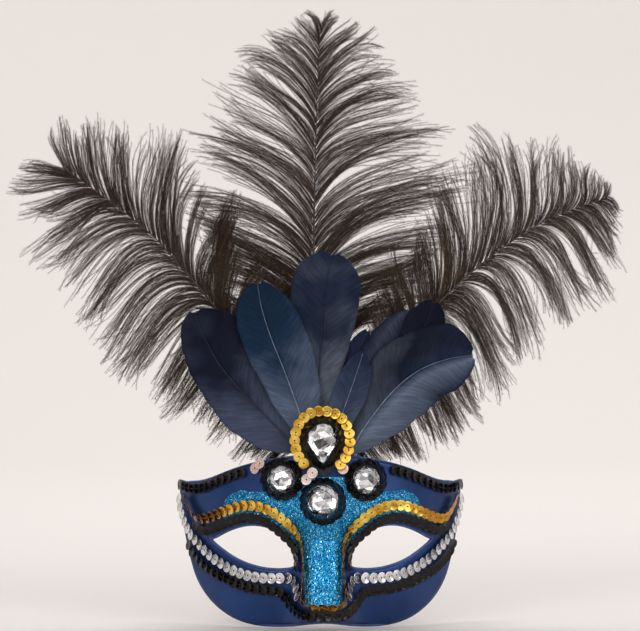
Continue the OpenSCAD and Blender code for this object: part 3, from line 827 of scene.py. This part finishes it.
# The same lines as the CAD feathers, in mm. spine: the shaft's [x, z] from quill end to tip.
# left, right: [share of the length, width] of the vane on each side. bare: where each side's vane
# begins. layer: its depth at the foot. cup: how far the edges bend back. curl: how far the tip bends
# forward. round: the share of the length that the round tip takes. split: [side, share of the
# length, how far in from the edge] of each gap between barbs.
GOOSE = {
    "goose_left_big": dict(
        spine=[[-9.6, 34], [-12.6, 46], [-21, 59], [-38, 76], [-56, 97], [-66, 116], [-70, 127]],
        left=[[0.18, 8], [0.28, 15], [0.45, 19], [0.6, 18], [0.8, 15], [1, 13]],
        right=[[0.2, 6], [0.3, 12], [0.45, 19], [0.6, 23], [0.75, 24], [1, 22]],
        bare=(0.12, 0.12), layer=12.1, cup=1.4, look="navy", shaft="dark", curl=5),
    "goose_left_teal": dict(
        spine=[[-6.9, 34], [-8, 48], [-11.6, 68], [-20, 92], [-28, 112], [-33, 128], [-35.5, 142.5]],
        left=[[0.24, 6], [0.4, 12], [0.6, 15], [0.78, 16], [1, 14]],
        right=[[0.24, 6], [0.4, 15], [0.6, 19], [0.78, 19], [1, 15]],
        bare=(0.14, 0.14), layer=9.8, cup=1.2, look="teal", shaft="pale", curl=1),
    "goose_centre": dict(
        spine=[[-4.2, 34], [-4.4, 50], [-3, 76], [-1, 104], [0.6, 128], [3, 146], [5.4, 159]],
        left=[[0.3, 6], [0.5, 13], [0.7, 18], [0.86, 19], [1, 18]],
        right=[[0.3, 6], [0.5, 13], [0.7, 19], [0.86, 20], [1, 19]],
        bare=(0.2, 0.2), layer=14.3, cup=1.2, look="centre", shaft="dark", curl=2, round=0.16),
    "goose_centre_back": dict(
        spine=[[-1.5, 34], [-0.6, 50], [6, 70], [14, 92], [20.5, 106], [25.5, 116.5]],
        left=[[0.5, 5], [0.8, 8], [1, 6]],
        right=[[0.5, 5], [0.8, 7], [1, 5]],
        bare=(0.3, 0.3), layer=16.5, cup=0.6, look="blue", shaft="dark", round=0.25),
    "goose_small": dict(
        spine=[[1.2, 34], [2.6, 48], [8, 63], [13.5, 78], [18.5, 92], [22.5, 104.5]],
        left=[[0.4, 7], [0.65, 9.5], [0.85, 8.5], [1, 7]],
        right=[[0.4, 6], [0.65, 9.5], [0.85, 8.5], [1, 7]],
        bare=(0.2, 0.2), layer=7.6, cup=0.8, look="grey", shaft="pale", round=0.25),
    "goose_right_grey": dict(
        spine=[[3.9, 34], [6.2, 47], [15.6, 66], [29, 88], [40, 106], [49.5, 126.5]],
        left=[[0.28, 7], [0.45, 13], [0.65, 16], [0.82, 15], [1, 12]],
        right=[[0.28, 7], [0.45, 12], [0.65, 15], [0.82, 14], [1, 12]],
        bare=(0.16, 0.16), layer=14.3, cup=1.0, look="mid", shaft="pale", curl=1, round=0.22),
    "goose_right_dark": dict(
        spine=[[6.6, 34], [9.6, 47], [21, 65], [37, 86], [51, 108], [58, 122], [62, 132]],
        left=[[0.28, 3], [0.5, 6], [0.72, 9], [0.88, 12], [1, 12]],
        right=[[0.28, 6], [0.5, 11], [0.72, 13], [0.88, 12], [1, 11]],
        bare=(0.2, 0.2), layer=12.1, cup=1.0, look="dark", shaft="dark", curl=2, round=0.18),
    "goose_right_big": dict(
        spine=[[9.3, 34], [13.2, 46], [21.5, 61], [37, 81], [52, 93.5], [68, 100], [83.5, 102.5]],
        left=[[0.22, 7], [0.4, 16], [0.6, 21], [0.76, 21], [0.9, 20], [1, 18]],
        right=[[0.2, 8], [0.4, 18], [0.6, 21], [0.76, 18.5], [0.9, 17], [1, 15]],
        bare=(0.14, 0.12), layer=9.8, cup=1.4, look="lit", shaft="pale", split=[[1, 0.6, 0.82]], curl=1,
        round=0.15),
}
QUILL_Y, CARD_Z, LEAN = 9.9, 44, 0.1       # the crest's depth at its foot, and how it leans back
VANE_T = 0.22 * MM                         # thickness of a vane
QUILL_W = 0.9                              # half the width of the bare quill
BARBS, BARB_STEPS = 170, 10                # barbs on each side of a vane, and points along each


def vane_width(data, side, s, rounded=True):
    """Width of the vane on one side of the shaft, ending in a round tip."""
    bare = data["bare"][side == "right"]
    table = np.array([[0, QUILL_W], [bare, QUILL_W]] + data[side])
    share = np.linspace(-0.1, 1.1, 241)
    blur = np.hanning(15)
    smooth = np.convolve(np.interp(share, table[:, 0], table[:, 1]), blur / blur.sum(), "same")
    width = np.interp(s, share, smooth)
    if rounded:
        tip = data.get("round", 0.2)
        width = width * np.sqrt(np.clip(1 - (np.maximum(s - 1 + tip, 0) / tip) ** 2, 0, 1))
    return width


def vane_spots(data, line, s, q):
    """Points of a feather's middle surface, q from -1 at the left edge to 1 at the right."""
    ahead = along(line, np.minimum(s + 0.02, 1)) - along(line, np.maximum(s - 0.02, 0))
    way = unit(ahead)
    across = q * np.where(q < 0, vane_width(data, "left", s), vane_width(data, "right", s))
    spot = along(line, s) + np.stack([way[..., 1], -way[..., 0]], axis=-1) * across[..., None]
    depth = QUILL_Y + (data["layer"] - QUILL_Y) * ease(48.5, 58, spot[..., 1])
    depth = depth + LEAN * (spot[..., 1] - CARD_Z) + data["cup"] * (across / 20) ** 2
    depth = depth - data.get("curl", 0) * ease(0.8, 1.05, s) ** 2 * (1 + 0.4 * q)
    return np.stack([spot[..., 0], depth, spot[..., 1]], axis=-1)


def wander(rng, count, reach):
    """A smooth random line of values about 0."""
    rough = rng.normal(size=count + 2 * reach)
    window = np.hanning(2 * reach + 1)
    return np.convolve(rough, window / np.sqrt((window ** 2).sum()), "valid")


def vane_side(data, line, side, rng):
    """One side of a vane as a grid of BARBS rows of BARB_STEPS points: its points in mm, its
    [u, v] places, and, for the rows where the vane is split, how far in the gap runs."""
    _, total = shares(line)
    foot = np.linspace(0.1, 0.985, BARBS)
    reach = vane_width(data, "left" if side < 0 else "right", foot + 0.1, rounded=False)
    forward = 1.15 * reach / total
    tip = foot + (1 - foot) * (1 - np.exp(-forward / (1 - foot)))
    end = 1 + 0.007 * wander(rng, BARBS, 2) + 0.01 * wander(rng, BARBS, 9)
    lift = 0.12 * wander(rng, BARBS, 8)
    t = np.linspace(0.0, 1, BARB_STEPS)[None]
    s = foot[:, None] + (tip - foot)[:, None] * t ** 0.9
    cuts = {}
    for where, at, depth in data.get("split", []):
        if where == side:
            k = int(np.argmin(abs(foot - at)))
            cuts[k] = depth
            apart = np.where(np.arange(BARBS) <= k, -1, 1) * np.exp(-abs(foot - foot[k]) / 0.035)
            s = s + 0.007 * apart[:, None] * np.clip((t - depth) / (1 - depth), 0, 1) ** 1.3
            lift = lift + 0.2 * apart
    spots = vane_spots(data, line, np.clip(s, 0, 0.9995), side * t * end[:, None] + 0 * s)
    spots[..., 1] -= lift[:, None] * t ** 2
    uv = [(0.5 + 0.5 * side * v, f) for f in foot for v in t[0]]
    return list(spots.reshape(-1, 3)), uv, cuts


def vane_faces(first, side, cuts):
    """Faces of one side's grid, left open in the outer part of the rows that are split."""
    faces = []
    for i in range(BARBS - 1):
        for j in range(BARB_STEPS - 1):
            if (j + 1) / (BARB_STEPS - 1) <= cuts.get(i, 1):
                a = first + i * BARB_STEPS + j
                b = a + BARB_STEPS
                faces.append((a, a + 1, b + 1, b) if side > 0 else (a, b, b + 1, a + 1))
    return faces


def goose(name, data, looks, shafts):
    """A goose feather: its vane with both sides' barbs, and its shaft."""
    rng = np.random.default_rng(sum(map(ord, name)))
    line = smooth_line(data["spine"])
    points, faces, uv = [], [], []
    for side in (-1, 1):
        spots, places, cuts = vane_side(data, line, side, rng)
        faces += vane_faces(len(points), side, cuts)
        points += spots
        uv += places
    thickened(piece(name + "_vane", mm(points), faces, [looks[data["look"]]], [name],
                    uv=uv), VANE_T)
    s = np.linspace(0, 0.985, 60)
    middle = vane_spots(data, line, s, 0 * s)
    middle[:, 1] -= 0.12
    radius = np.interp(s, [0, 0.16, 0.35, 0.7, 1], [0.8, 0.65, 0.3, 0.17, 0.06])
    shaft_points, shaft_faces = tube(mm(middle), radius * MM, 8)
    piece(name + "_shaft", shaft_points, shaft_faces, [shafts[data["shaft"]]])


# Each vane's colours at its foot, in its middle and at its tip, and where painted sheen makes it paler or
# painted shade makes it darker
VANES = {
    "navy": ((0.06, 0.078, 0.135), (0.0045, 0.007, 0.024), (0.003, 0.004, 0.017)),
    "centre": ((0.17, 0.2, 0.27), (0.0085, 0.016, 0.04), (0.011, 0.02, 0.05)),
    "blue": ((0.03, 0.045, 0.1), (0.012, 0.022, 0.062), (0.008, 0.015, 0.045)),
    "teal": ((0.1, 0.135, 0.21), (0.0065, 0.024, 0.062), (0.003, 0.018, 0.045)),
    "dark": ((0.02, 0.026, 0.055), (0.004, 0.006, 0.02), (0.003, 0.0045, 0.017)),
    "mid": ((0.055, 0.07, 0.12), (0.0055, 0.011, 0.033), (0.013, 0.017, 0.038), dict(painted_sheen_left=0.3)),
    "grey": ((0.1, 0.13, 0.2), (0.03, 0.045, 0.095), (0.012, 0.022, 0.055)),
    "lit": ((0.09, 0.118, 0.175), (0.005, 0.0105, 0.03), (0.011, 0.021, 0.058),
            dict(painted_sheen_right=0.7, painted_shade_left=0.55)),
}


def goose_feathers():
    looks = {name: vane_look("vane_" + name, *look[:3], **(look[3] if len(look) > 3 else {}))
             for name, look in VANES.items()}
    shafts = {"dark": shaft_look("shaft_dark", (0.004, 0.005, 0.012), (0.014, 0.018, 0.035)),
              "pale": shaft_look("shaft_pale", (0.09, 0.13, 0.2), (0.26, 0.32, 0.42))}
    for name, data in GOOSE.items():
        goose(name, data, looks, shafts)


# ---- ostrich plumes ----

GOOSE_BACK = 19.2      # depth at the foot behind which all the barbs stay, clear of the goose vanes
PLUME_BACK = 62        # depth beyond which no barb reaches
PLUME_QUILL_Y = 12.6   # depth of the plumes' quills at the card

# shaft: [x, z] in mm from the foot to the tip. left, right: where barbs on each side end:
# [share of the shaft's length at their foot, x, z of their tips]. layer: depth at the foot.
PLUMES = {
    "plume_left": dict(
        shaft=[[-6, 36], [-12, 66], [-30, 95], [-55, 121], [-59, 129], [-77, 150], [-90, 165],
               [-100, 174], [-114, 185], [-129, 196], [-143, 206]],
        left=[[0.05, -27, 41], [0.12, -42, 44], [0.24, -60, 53], [0.34, -77, 61], [0.42, -92, 75],
              [0.48, -106, 87], [0.54, -120, 99], [0.6, -130, 111], [0.66, -138, 122], [0.72, -147, 132],
              [0.78, -158, 146], [0.83, -162, 155], [0.86, -163, 174], [0.9, -171, 180],
              [0.95, -170, 200], [1, -164, 213]],
        right=[[0.1, 6, 92], [0.18, 2, 112], [0.27, -8, 132], [0.35, -22, 148], [0.42, -36, 164],
               [0.48, -46, 182], [0.54, -56, 200], [0.6, -66, 216], [0.67, -80, 226], [0.74, -94, 230],
               [0.81, -112, 234], [0.88, -128, 235], [0.95, -143, 233], [1, -150, 226]],
        layer=21.5, forward=-6),
    "plume_centre": dict(
        shaft=[[-1, 36], [-1, 60], [-2.6, 80], [-3.6, 120], [-4, 161], [-3, 210], [-1.6, 256],
               [-0.5, 280], [0.5, 287]],
        left=[[0.1, -26, 92], [0.16, -42, 112], [0.22, -52, 132], [0.29, -60, 153], [0.36, -67, 174],
              [0.42, -72, 192], [0.48, -76, 208], [0.54, -75, 222], [0.62, -69, 238], [0.68, -63, 252],
              [0.74, -57, 265], [0.8, -44, 273], [0.87, -30, 285], [0.94, -16, 291], [1, -1, 295]],
        right=[[0.1, 24, 92], [0.16, 38, 108], [0.22, 47, 126], [0.29, 56, 146], [0.36, 65, 166],
               [0.42, 73, 184], [0.48, 80, 200], [0.54, 79, 214], [0.62, 71, 228], [0.68, 65, 240],
               [0.74, 56, 254], [0.8, 45, 267], [0.87, 30, 283], [0.94, 17, 290], [1, 4, 295]],
        layer=29, forward=-12),
    "plume_right": dict(
        shaft=[[4, 36], [15, 66], [38, 100], [68, 134], [88, 152], [107, 166], [121, 175], [137, 182],
               [152, 187], [160, 190]],
        left=[[0.1, 4, 96], [0.18, 14, 112], [0.27, 28, 130], [0.35, 40, 148], [0.42, 50, 168],
              [0.49, 60, 188], [0.55, 70, 208], [0.61, 80, 225], [0.68, 95, 229], [0.75, 110, 227],
              [0.81, 124, 223], [0.87, 138, 219], [0.94, 152, 206], [1, 162, 195]],
        right=[[0.05, 29, 40], [0.12, 43, 42], [0.24, 62, 49], [0.34, 76, 58], [0.42, 89, 66],
               [0.49, 102, 79], [0.55, 113, 93], [0.61, 120, 104], [0.67, 132, 115], [0.73, 143, 121],
               [0.79, 155, 127], [0.85, 163, 138], [0.91, 166, 158], [0.96, 167, 174], [1, 166, 186]],
        layer=21.5, forward=-6),
}
LOCKS = 38             # locks of barbs on each side of a plume
STRAYS = 0.12          # share of the barbs that leave their lock
BARB_COUNT = 690       # barbs on a side before the locks near the foot are filled up
BARB_POINTS = 15
BARBULE_STEP = 0.6     # mm from one barbule, a fine hair, to the next along a barb
CLUMP = 400            # barbules in a row that share a shade


def turned(way, degrees):
    """Directions [x, z] turned anticlockwise as seen from the front."""
    a = np.radians(degrees)
    return np.stack([way[..., 0] * np.cos(a) - way[..., 1] * np.sin(a),
                     way[..., 0] * np.sin(a) + way[..., 1] * np.cos(a)], axis=-1)


def tip_at(tips, share):
    """Where the barb that starts at a share of the shaft's length ends, as [x, z]."""
    return np.array([np.interp(share, tips[:, 0], tips[:, k]) for k in (1, 2)])


def plume_depth(data, height, share):
    """How far back a plume's middle surface lies."""
    return LEAN * (height - CARD_Z) + data["layer"] + data["forward"] * ease(0.75, 1.05, share)


def locks(tips, rng):
    """The locks on one side of a plume: where each begins and ends on the shaft, and its barbs'
    count. Locks near the foot, and those whose tips spread far, have more barbs."""
    edges = np.cumsum(rng.uniform(0.35, 1.65, LOCKS + 1))
    edges = 0.05 + 0.945 * (edges - edges[0]) / (edges[-1] - edges[0])
    reached, _ = shares(tips[:, 1:])
    run = np.interp(edges, tips[:, 0], reached)
    weight = 0.4 * np.diff(edges) + 0.6 * (np.diff(run) / (run[-1] - run[0]))
    weight = weight * (2.1 - 1.15 * ease(0.2, 0.6, (edges[:-1] + edges[1:]) / 2))
    return list(zip(edges, edges[1:], np.rint(weight * BARB_COUNT).astype(int)))


def lock_habit(middle, rng):
    """What the barbs of one lock share: reach, turn and droop in degrees, depth in mm, and how
    much the lock stays open."""
    return dict(reach=np.clip(rng.normal(0.97, 0.07), 0.78, 1.08),
                turn=rng.normal(0, 1) * np.interp(middle, [0.3, 0.5], [9, 3.2]),
                depth=float(np.clip(rng.normal(0, 8), -16, 12)),
                droop=rng.normal(12, 17), phase=rng.uniform(0, 6),
                open=1.9 - 0.9 * ease(0.2, 0.55, middle))


def barb(data, shaft, tips, side, low, high, habit, rng):
    """One barb's centre line in mm. It leaves the shaft at a slant and bends over to its tip. About
    one in eight is a stray that goes its own way."""
    t = np.linspace(0, 1, BARB_POINTS)[:, None]
    stray = rng.random() < STRAYS
    s, middle = rng.uniform(low, high), (low + high) / 2
    root = along(shaft, np.array(s))
    way = unit(along(shaft, np.array(min(s + 0.02, 1))) - along(shaft, np.array(max(s - 0.02, 0))))
    if stray:
        tip = tip_at(tips, s + rng.normal(0, 0.02))
    else:
        tip = tip_at(tips, middle + (s - middle) * rng.uniform(0.4, 1.0) * habit["open"])
    apart = tip_at(tips, s) - tip
    share = rng.uniform(0.55, 1.0) if stray else rng.uniform(0.72, 1.0)
    turn = habit["turn"] + rng.normal(0, 7 if stray else 2.0)
    span = turned((tip - root) * habit["reach"] * share, turn)
    length = np.linalg.norm(span)
    first = turned(way, -side * rng.normal(27, 4))
    last = turned(unit(span), -side * (habit["droop"] + rng.normal(0, 5)))
    rise, fall = root + first * length * 0.38, root + span - last * length * 0.32 + apart * 0.9
    flat = ((1 - t) ** 3 * root + 3 * t * (1 - t) ** 2 * rise + 3 * t ** 2 * (1 - t) * fall
            + t ** 3 * (root + span))
    wave = 0.012 * np.sin(t * 6 + habit["phase"]) + 0.006 * np.sin(t * 11 + rng.uniform(0, 6))
    flat = flat + turned(unit(span), 90) * wave * length * t
    depth = plume_depth(data, root[1], s)
    sway = np.sin(t[:, 0] * 5 + habit["phase"]) * 0.8 * t[:, 0]
    y = depth + (habit["depth"] + rng.normal(0, 3)) * t[:, 0] ** 1.5 + sway
    free = np.maximum(ease(150, 185, flat[:, 1]), ease(92, 112, abs(flat[:, 0])))
    y = np.clip(y, GOOSE_BACK - 12 * free + LEAN * (flat[:, 1] - CARD_Z), PLUME_BACK)
    return np.stack([flat[:, 0], y, flat[:, 1]], axis=-1)


def barb_lines(data, rng):
    """The centre lines of a plume's barbs. The barbs of a lock start evenly along its piece of the
    shaft and close up towards their tips."""
    shaft = smooth_line(data["shaft"])
    lines = []
    for side in (-1, 1):
        tips = np.array(data["left"] if side < 0 else data["right"])
        for low, high, count in locks(tips, rng):
            habit = lock_habit((low + high) / 2, rng)
            lines += [barb(data, shaft, tips, side, low, high, habit, rng) for _ in range(count)]
    return lines


def barb_mesh(lines):
    """Tapered three-sided strands along the barbs."""
    return joined([tube(mm(line), np.linspace(0.2, 0.07, BARB_POINTS) * MM, 3) for line in lines])


def barbule_points(lines, rng):
    """Three corners for each of the fine hairs that fringe the barbs."""
    corners = []
    for line in lines:
        _, length = shares(line)
        count = int(length / BARBULE_STEP)
        for side in (-1, 1):
            t = np.clip((np.arange(count) + rng.uniform(0, 1, count)) / count * 0.97 + 0.03, 0, 1)
            root = along(line, t)
            ahead = unit(along(line, np.minimum(t + 0.03, 1)) - along(line, np.maximum(t - 0.03, 0)))
            out = unit(np.cross(ahead, [0, 1, 0])) * side
            twist = rng.normal(0, 0.5, count)[:, None]
            out = out * np.cos(twist) + np.array([0, 1.0, 0]) * np.sin(twist)
            lean = np.radians(rng.normal(33, 8, count))[:, None]
            way = ahead * np.cos(lean) + out * np.sin(lean)
            reach = (2.7 * (1 - 0.35 * t) * rng.uniform(0.6, 1.15, count))[:, None]
            half = ahead * 0.09
            corners.append(np.stack([root - half, root + half, root + way * reach], axis=1))
    return np.concatenate(corners)


def barbules(name, corners, looks, rng):
    """One part of a plume's fringe, in dark shades that change from clump to clump."""
    count = len(corners)
    mesh = bpy.data.meshes.new(name)
    mesh.vertices.add(3 * count)
    mesh.vertices.foreach_set("co", (corners * MM).astype(np.float32).ravel())
    mesh.loops.add(3 * count)
    mesh.loops.foreach_set("vertex_index", np.arange(3 * count, dtype=np.int32))
    mesh.polygons.add(count)
    mesh.polygons.foreach_set("loop_start", np.arange(0, 3 * count, 3, dtype=np.int32))
    mesh.update(calc_edges=True)
    shown(name, mesh, looks)
    shade = np.repeat(rng.integers(0, len(looks), count // CLUMP + 1), CLUMP)[:count]
    mesh.polygons.foreach_set("material_index", shade.astype(np.int32))
    mesh.update()


def plume_shaft(name, data, look):
    """A plume's shaft, which comes forward to the card at its foot."""
    line = smooth_line(data["shaft"])
    share, _ = shares(line)
    depth = plume_depth(data, line[:, 1], share)
    foot = PLUME_QUILL_Y + (depth - PLUME_QUILL_Y) * ease(36, 66, line[:, 1])
    depth = np.where(line[:, 1] < 66, foot, depth)
    spine = np.stack([line[:, 0], depth, line[:, 1]], axis=-1)
    radius = np.interp(share, [0, 0.15, 0.5, 1], [1.35, 1.1, 0.6, 0.15])
    points, faces = tube(mm(spine), radius * MM, 8)
    piece(name + "_shaft", points, faces, [look])


def plumes():
    look = barb_look()
    shaft = shaft_look("ostrich_shaft", (0.012, 0.009, 0.008), (0.05, 0.038, 0.032))
    fringe = [material("fringe_black", (0.025, 0.0145, 0.0085), 0.7, Specular_IOR_Level=0.15),
              material("fringe_brown", (0.055, 0.034, 0.0205), 0.7, Specular_IOR_Level=0.15),
              material("fringe_grey", (0.095, 0.065, 0.042), 0.65, Specular_IOR_Level=0.2)]
    for name, data in PLUMES.items():
        rng = np.random.default_rng(sum(map(ord, name)))
        lines = barb_lines(data, rng)
        points, faces = barb_mesh(lines)
        piece(name + "_barbs", points, faces, [look], [name])
        for part, first in (("a", 0), ("b", 1), ("c", 2)):
            barbules(name + "_fringe_" + part, barbule_points(lines[first::3], rng), fringe, rng)
        plume_shaft(name, data, shaft)


# ---- felt, glue, card ----

def felt_patch():
    """A sheet of felt with round corners that lies on the glue and ripples a little."""
    low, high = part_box("crest_felt")
    width, tall, corner = high.x - low.x, 17 * MM, 4 * MM
    columns, rows = 56, 26
    v, u = np.meshgrid(np.linspace(-1, 1, rows + 1), np.linspace(-1, 1, columns + 1), indexing="ij")
    x, z = u * width / 2, v * tall / 2
    over_x, over_z = abs(x) - (width / 2 - corner), abs(z) - (tall / 2 - corner)
    at_corner = (over_x > 0) & (over_z > 0)
    pull = np.maximum(over_x, over_z) / np.maximum(np.hypot(over_x, over_z), 1e-12)
    x = np.where(at_corner, np.copysign(width / 2 - corner + over_x * pull, x), x)
    z = np.where(at_corner, np.copysign(tall / 2 - corner + over_z * pull, z), z)
    ripple = np.random.default_rng(8).normal(0, 0.03, u.shape)
    y = low.y + 0.6 * MM + LEAN * (z + tall / 2)
    y = y + (0.25 * np.sin(7 * u + 1) * np.cos(4 * v) + ripple) * MM
    points = np.stack([x, y, low.z + tall / 2 + z], axis=-1).reshape(-1, 3)
    faces = [(a, a + 1, a + columns + 2, a + columns + 1)
             for j in range(rows) for a in range(j * (columns + 1), j * (columns + 1) + columns)]
    obj = piece("felt_patch", points, faces, [black_felt()], ["crest_felt"])
    thickened(obj, 1.1 * MM)


def glue_blobs():
    """Two blobs of hot glue that swell where they meet the shell and the felt."""
    low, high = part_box("glue_pads")
    rng = np.random.default_rng(3)
    across, along_y = 28, 14
    parts = []
    for sign in (-1, 1):
        middle = np.array([sign * (high.x - 2.4 * MM), 0, (low.z + high.z) / 2])
        turn = np.linspace(0, 2 * math.pi, across, endpoint=False)
        lobes = (1 + 0.07 * np.sin(3 * turn + rng.uniform(0, 6))
                 + 0.05 * np.sin(5 * turn + rng.uniform(0, 6)))
        points = []
        for t in np.linspace(0, 1, along_y):
            r = 2.25 * MM * (0.86 + 0.34 * (2 * t - 1) ** 2) * lobes
            y = low.y + (high.y - low.y) * t
            points.append(np.stack([middle[0] + r * np.cos(turn), np.full(across, y),
                                    middle[2] + r * np.sin(turn)], axis=-1))
        parts.append((np.concatenate(points), ring_faces(along_y, across) + caps(along_y, across)))
    points, faces = joined(parts)
    glue = hot_glue()
    piece("glue_blobs", points, faces, [glue], ["glue_pads"])
    return glue


def carried_over(glue):
    """CAD nodes that stay as they are, with their real materials."""
    for name, look in (("crest_card", black_card()), ("gem_glue_dots", glue)):
        data = nodes[name].data
        if not data.materials:
            data.materials.append(look)
        for slot in nodes[name].material_slots:
            slot.material = look


# ---- stage ----

def backdrop():
    """A pale round floor that curves up into a wall, well outside the cameras."""
    floor_z, flat, bend, tall = cad_box[0][2] - 0.001, 1.4, 1.7, 3.2
    section = [(0.02, 0), (0.5, 0), (1.0, 0)]
    section += [(flat + bend * math.sin(a), bend * (1 - math.cos(a)))
                for a in np.linspace(0, math.pi / 2, 25)]
    section.append((flat + bend, tall))
    around = 72
    points = [(r * math.cos(a), r * math.sin(a), floor_z + z) for r, z in section
              for a in np.linspace(0, 2 * math.pi, around, endpoint=False)]
    faces = ring_faces(len(section), around)
    faces.append(tuple(reversed(range(around))))
    mesh = bpy.data.meshes.new("backdrop")
    mesh.from_pydata(points, [], faces)
    for face in mesh.polygons:
        face.use_smooth = True
    mesh.materials.append(material("backdrop", (0.82, 0.785, 0.765), 0.9))
    linked("backdrop", mesh)


def lamp(name, at, target, size, power, colour=(1, 1, 1)):
    data = bpy.data.lights.new(name, "AREA")
    data.shape = "RECTANGLE"
    data.size, data.size_y = size
    data.energy = power
    data.color = colour
    obj = linked(name, data)
    obj.location = at
    obj.rotation_euler = (Vector(target) - Vector(at)).to_track_quat("-Z", "Y").to_euler()
    obj.visible_camera = False


def lights():
    lamp("key", (-1.0, -1.4, 1.2), (0, 0, 0.1), (0.9, 0.9), 9, (1.0, 0.985, 0.965))
    lamp("fill", (1.3, -1.1, 1.0), (0, 0, 0.1), (0.7, 1.2), 8, (0.97, 0.98, 1.0))
    lamp("top", (0.0, 0.2, 1.5), (0, 0.1, 0.1), (1.2, 0.8), 3)
    lamp("front", (0.25, -1.75, 1.3), (0, 0, 0.1), (1.9, 1.1), 6)
    lamp("wall", (0.0, 0.6, 2.4), (0, 2.9, 0.3), (2.4, 0.8), 41, (1.0, 0.985, 0.97))
    lamp("back", (0.7, 1.5, 1.6), (0, 0, 0.1), (0.8, 0.8), 3)
    world = bpy.data.worlds.new("studio")
    bpy.context.scene.world = world
    world.use_nodes = True
    back = world.node_tree.nodes["Background"]
    back.inputs["Color"].default_value = (0.93, 0.92, 0.91, 1)
    back.inputs["Strength"].default_value = 0.22


def camera():
    """Looks at the middle of the mask and its crest, a little from the left."""
    target, distance, turn = Vector((-0.0016, 0, 0.124)), 1.31, math.radians(1.5)
    data = bpy.data.cameras.new("camera")
    data.sensor_width, data.lens = 36, 136.5
    data.clip_start, data.clip_end = 0.05, 20
    obj = linked("camera", data)
    obj.location = target + distance * Vector((-math.sin(turn), -math.cos(turn), 0))
    obj.rotation_euler = (target - obj.location).to_track_quat("-Z", "Y").to_euler()
    bpy.context.scene.camera = obj


def settings():
    view = bpy.context.scene.view_settings
    view.view_transform = "Standard"
    view.exposure = 0


camera()
settings()
lights()
backdrop()
shell()
glitter()
all_sequins()
gems()
goose_feathers()
plumes()
carried_over(glue_blobs())
felt_patch()
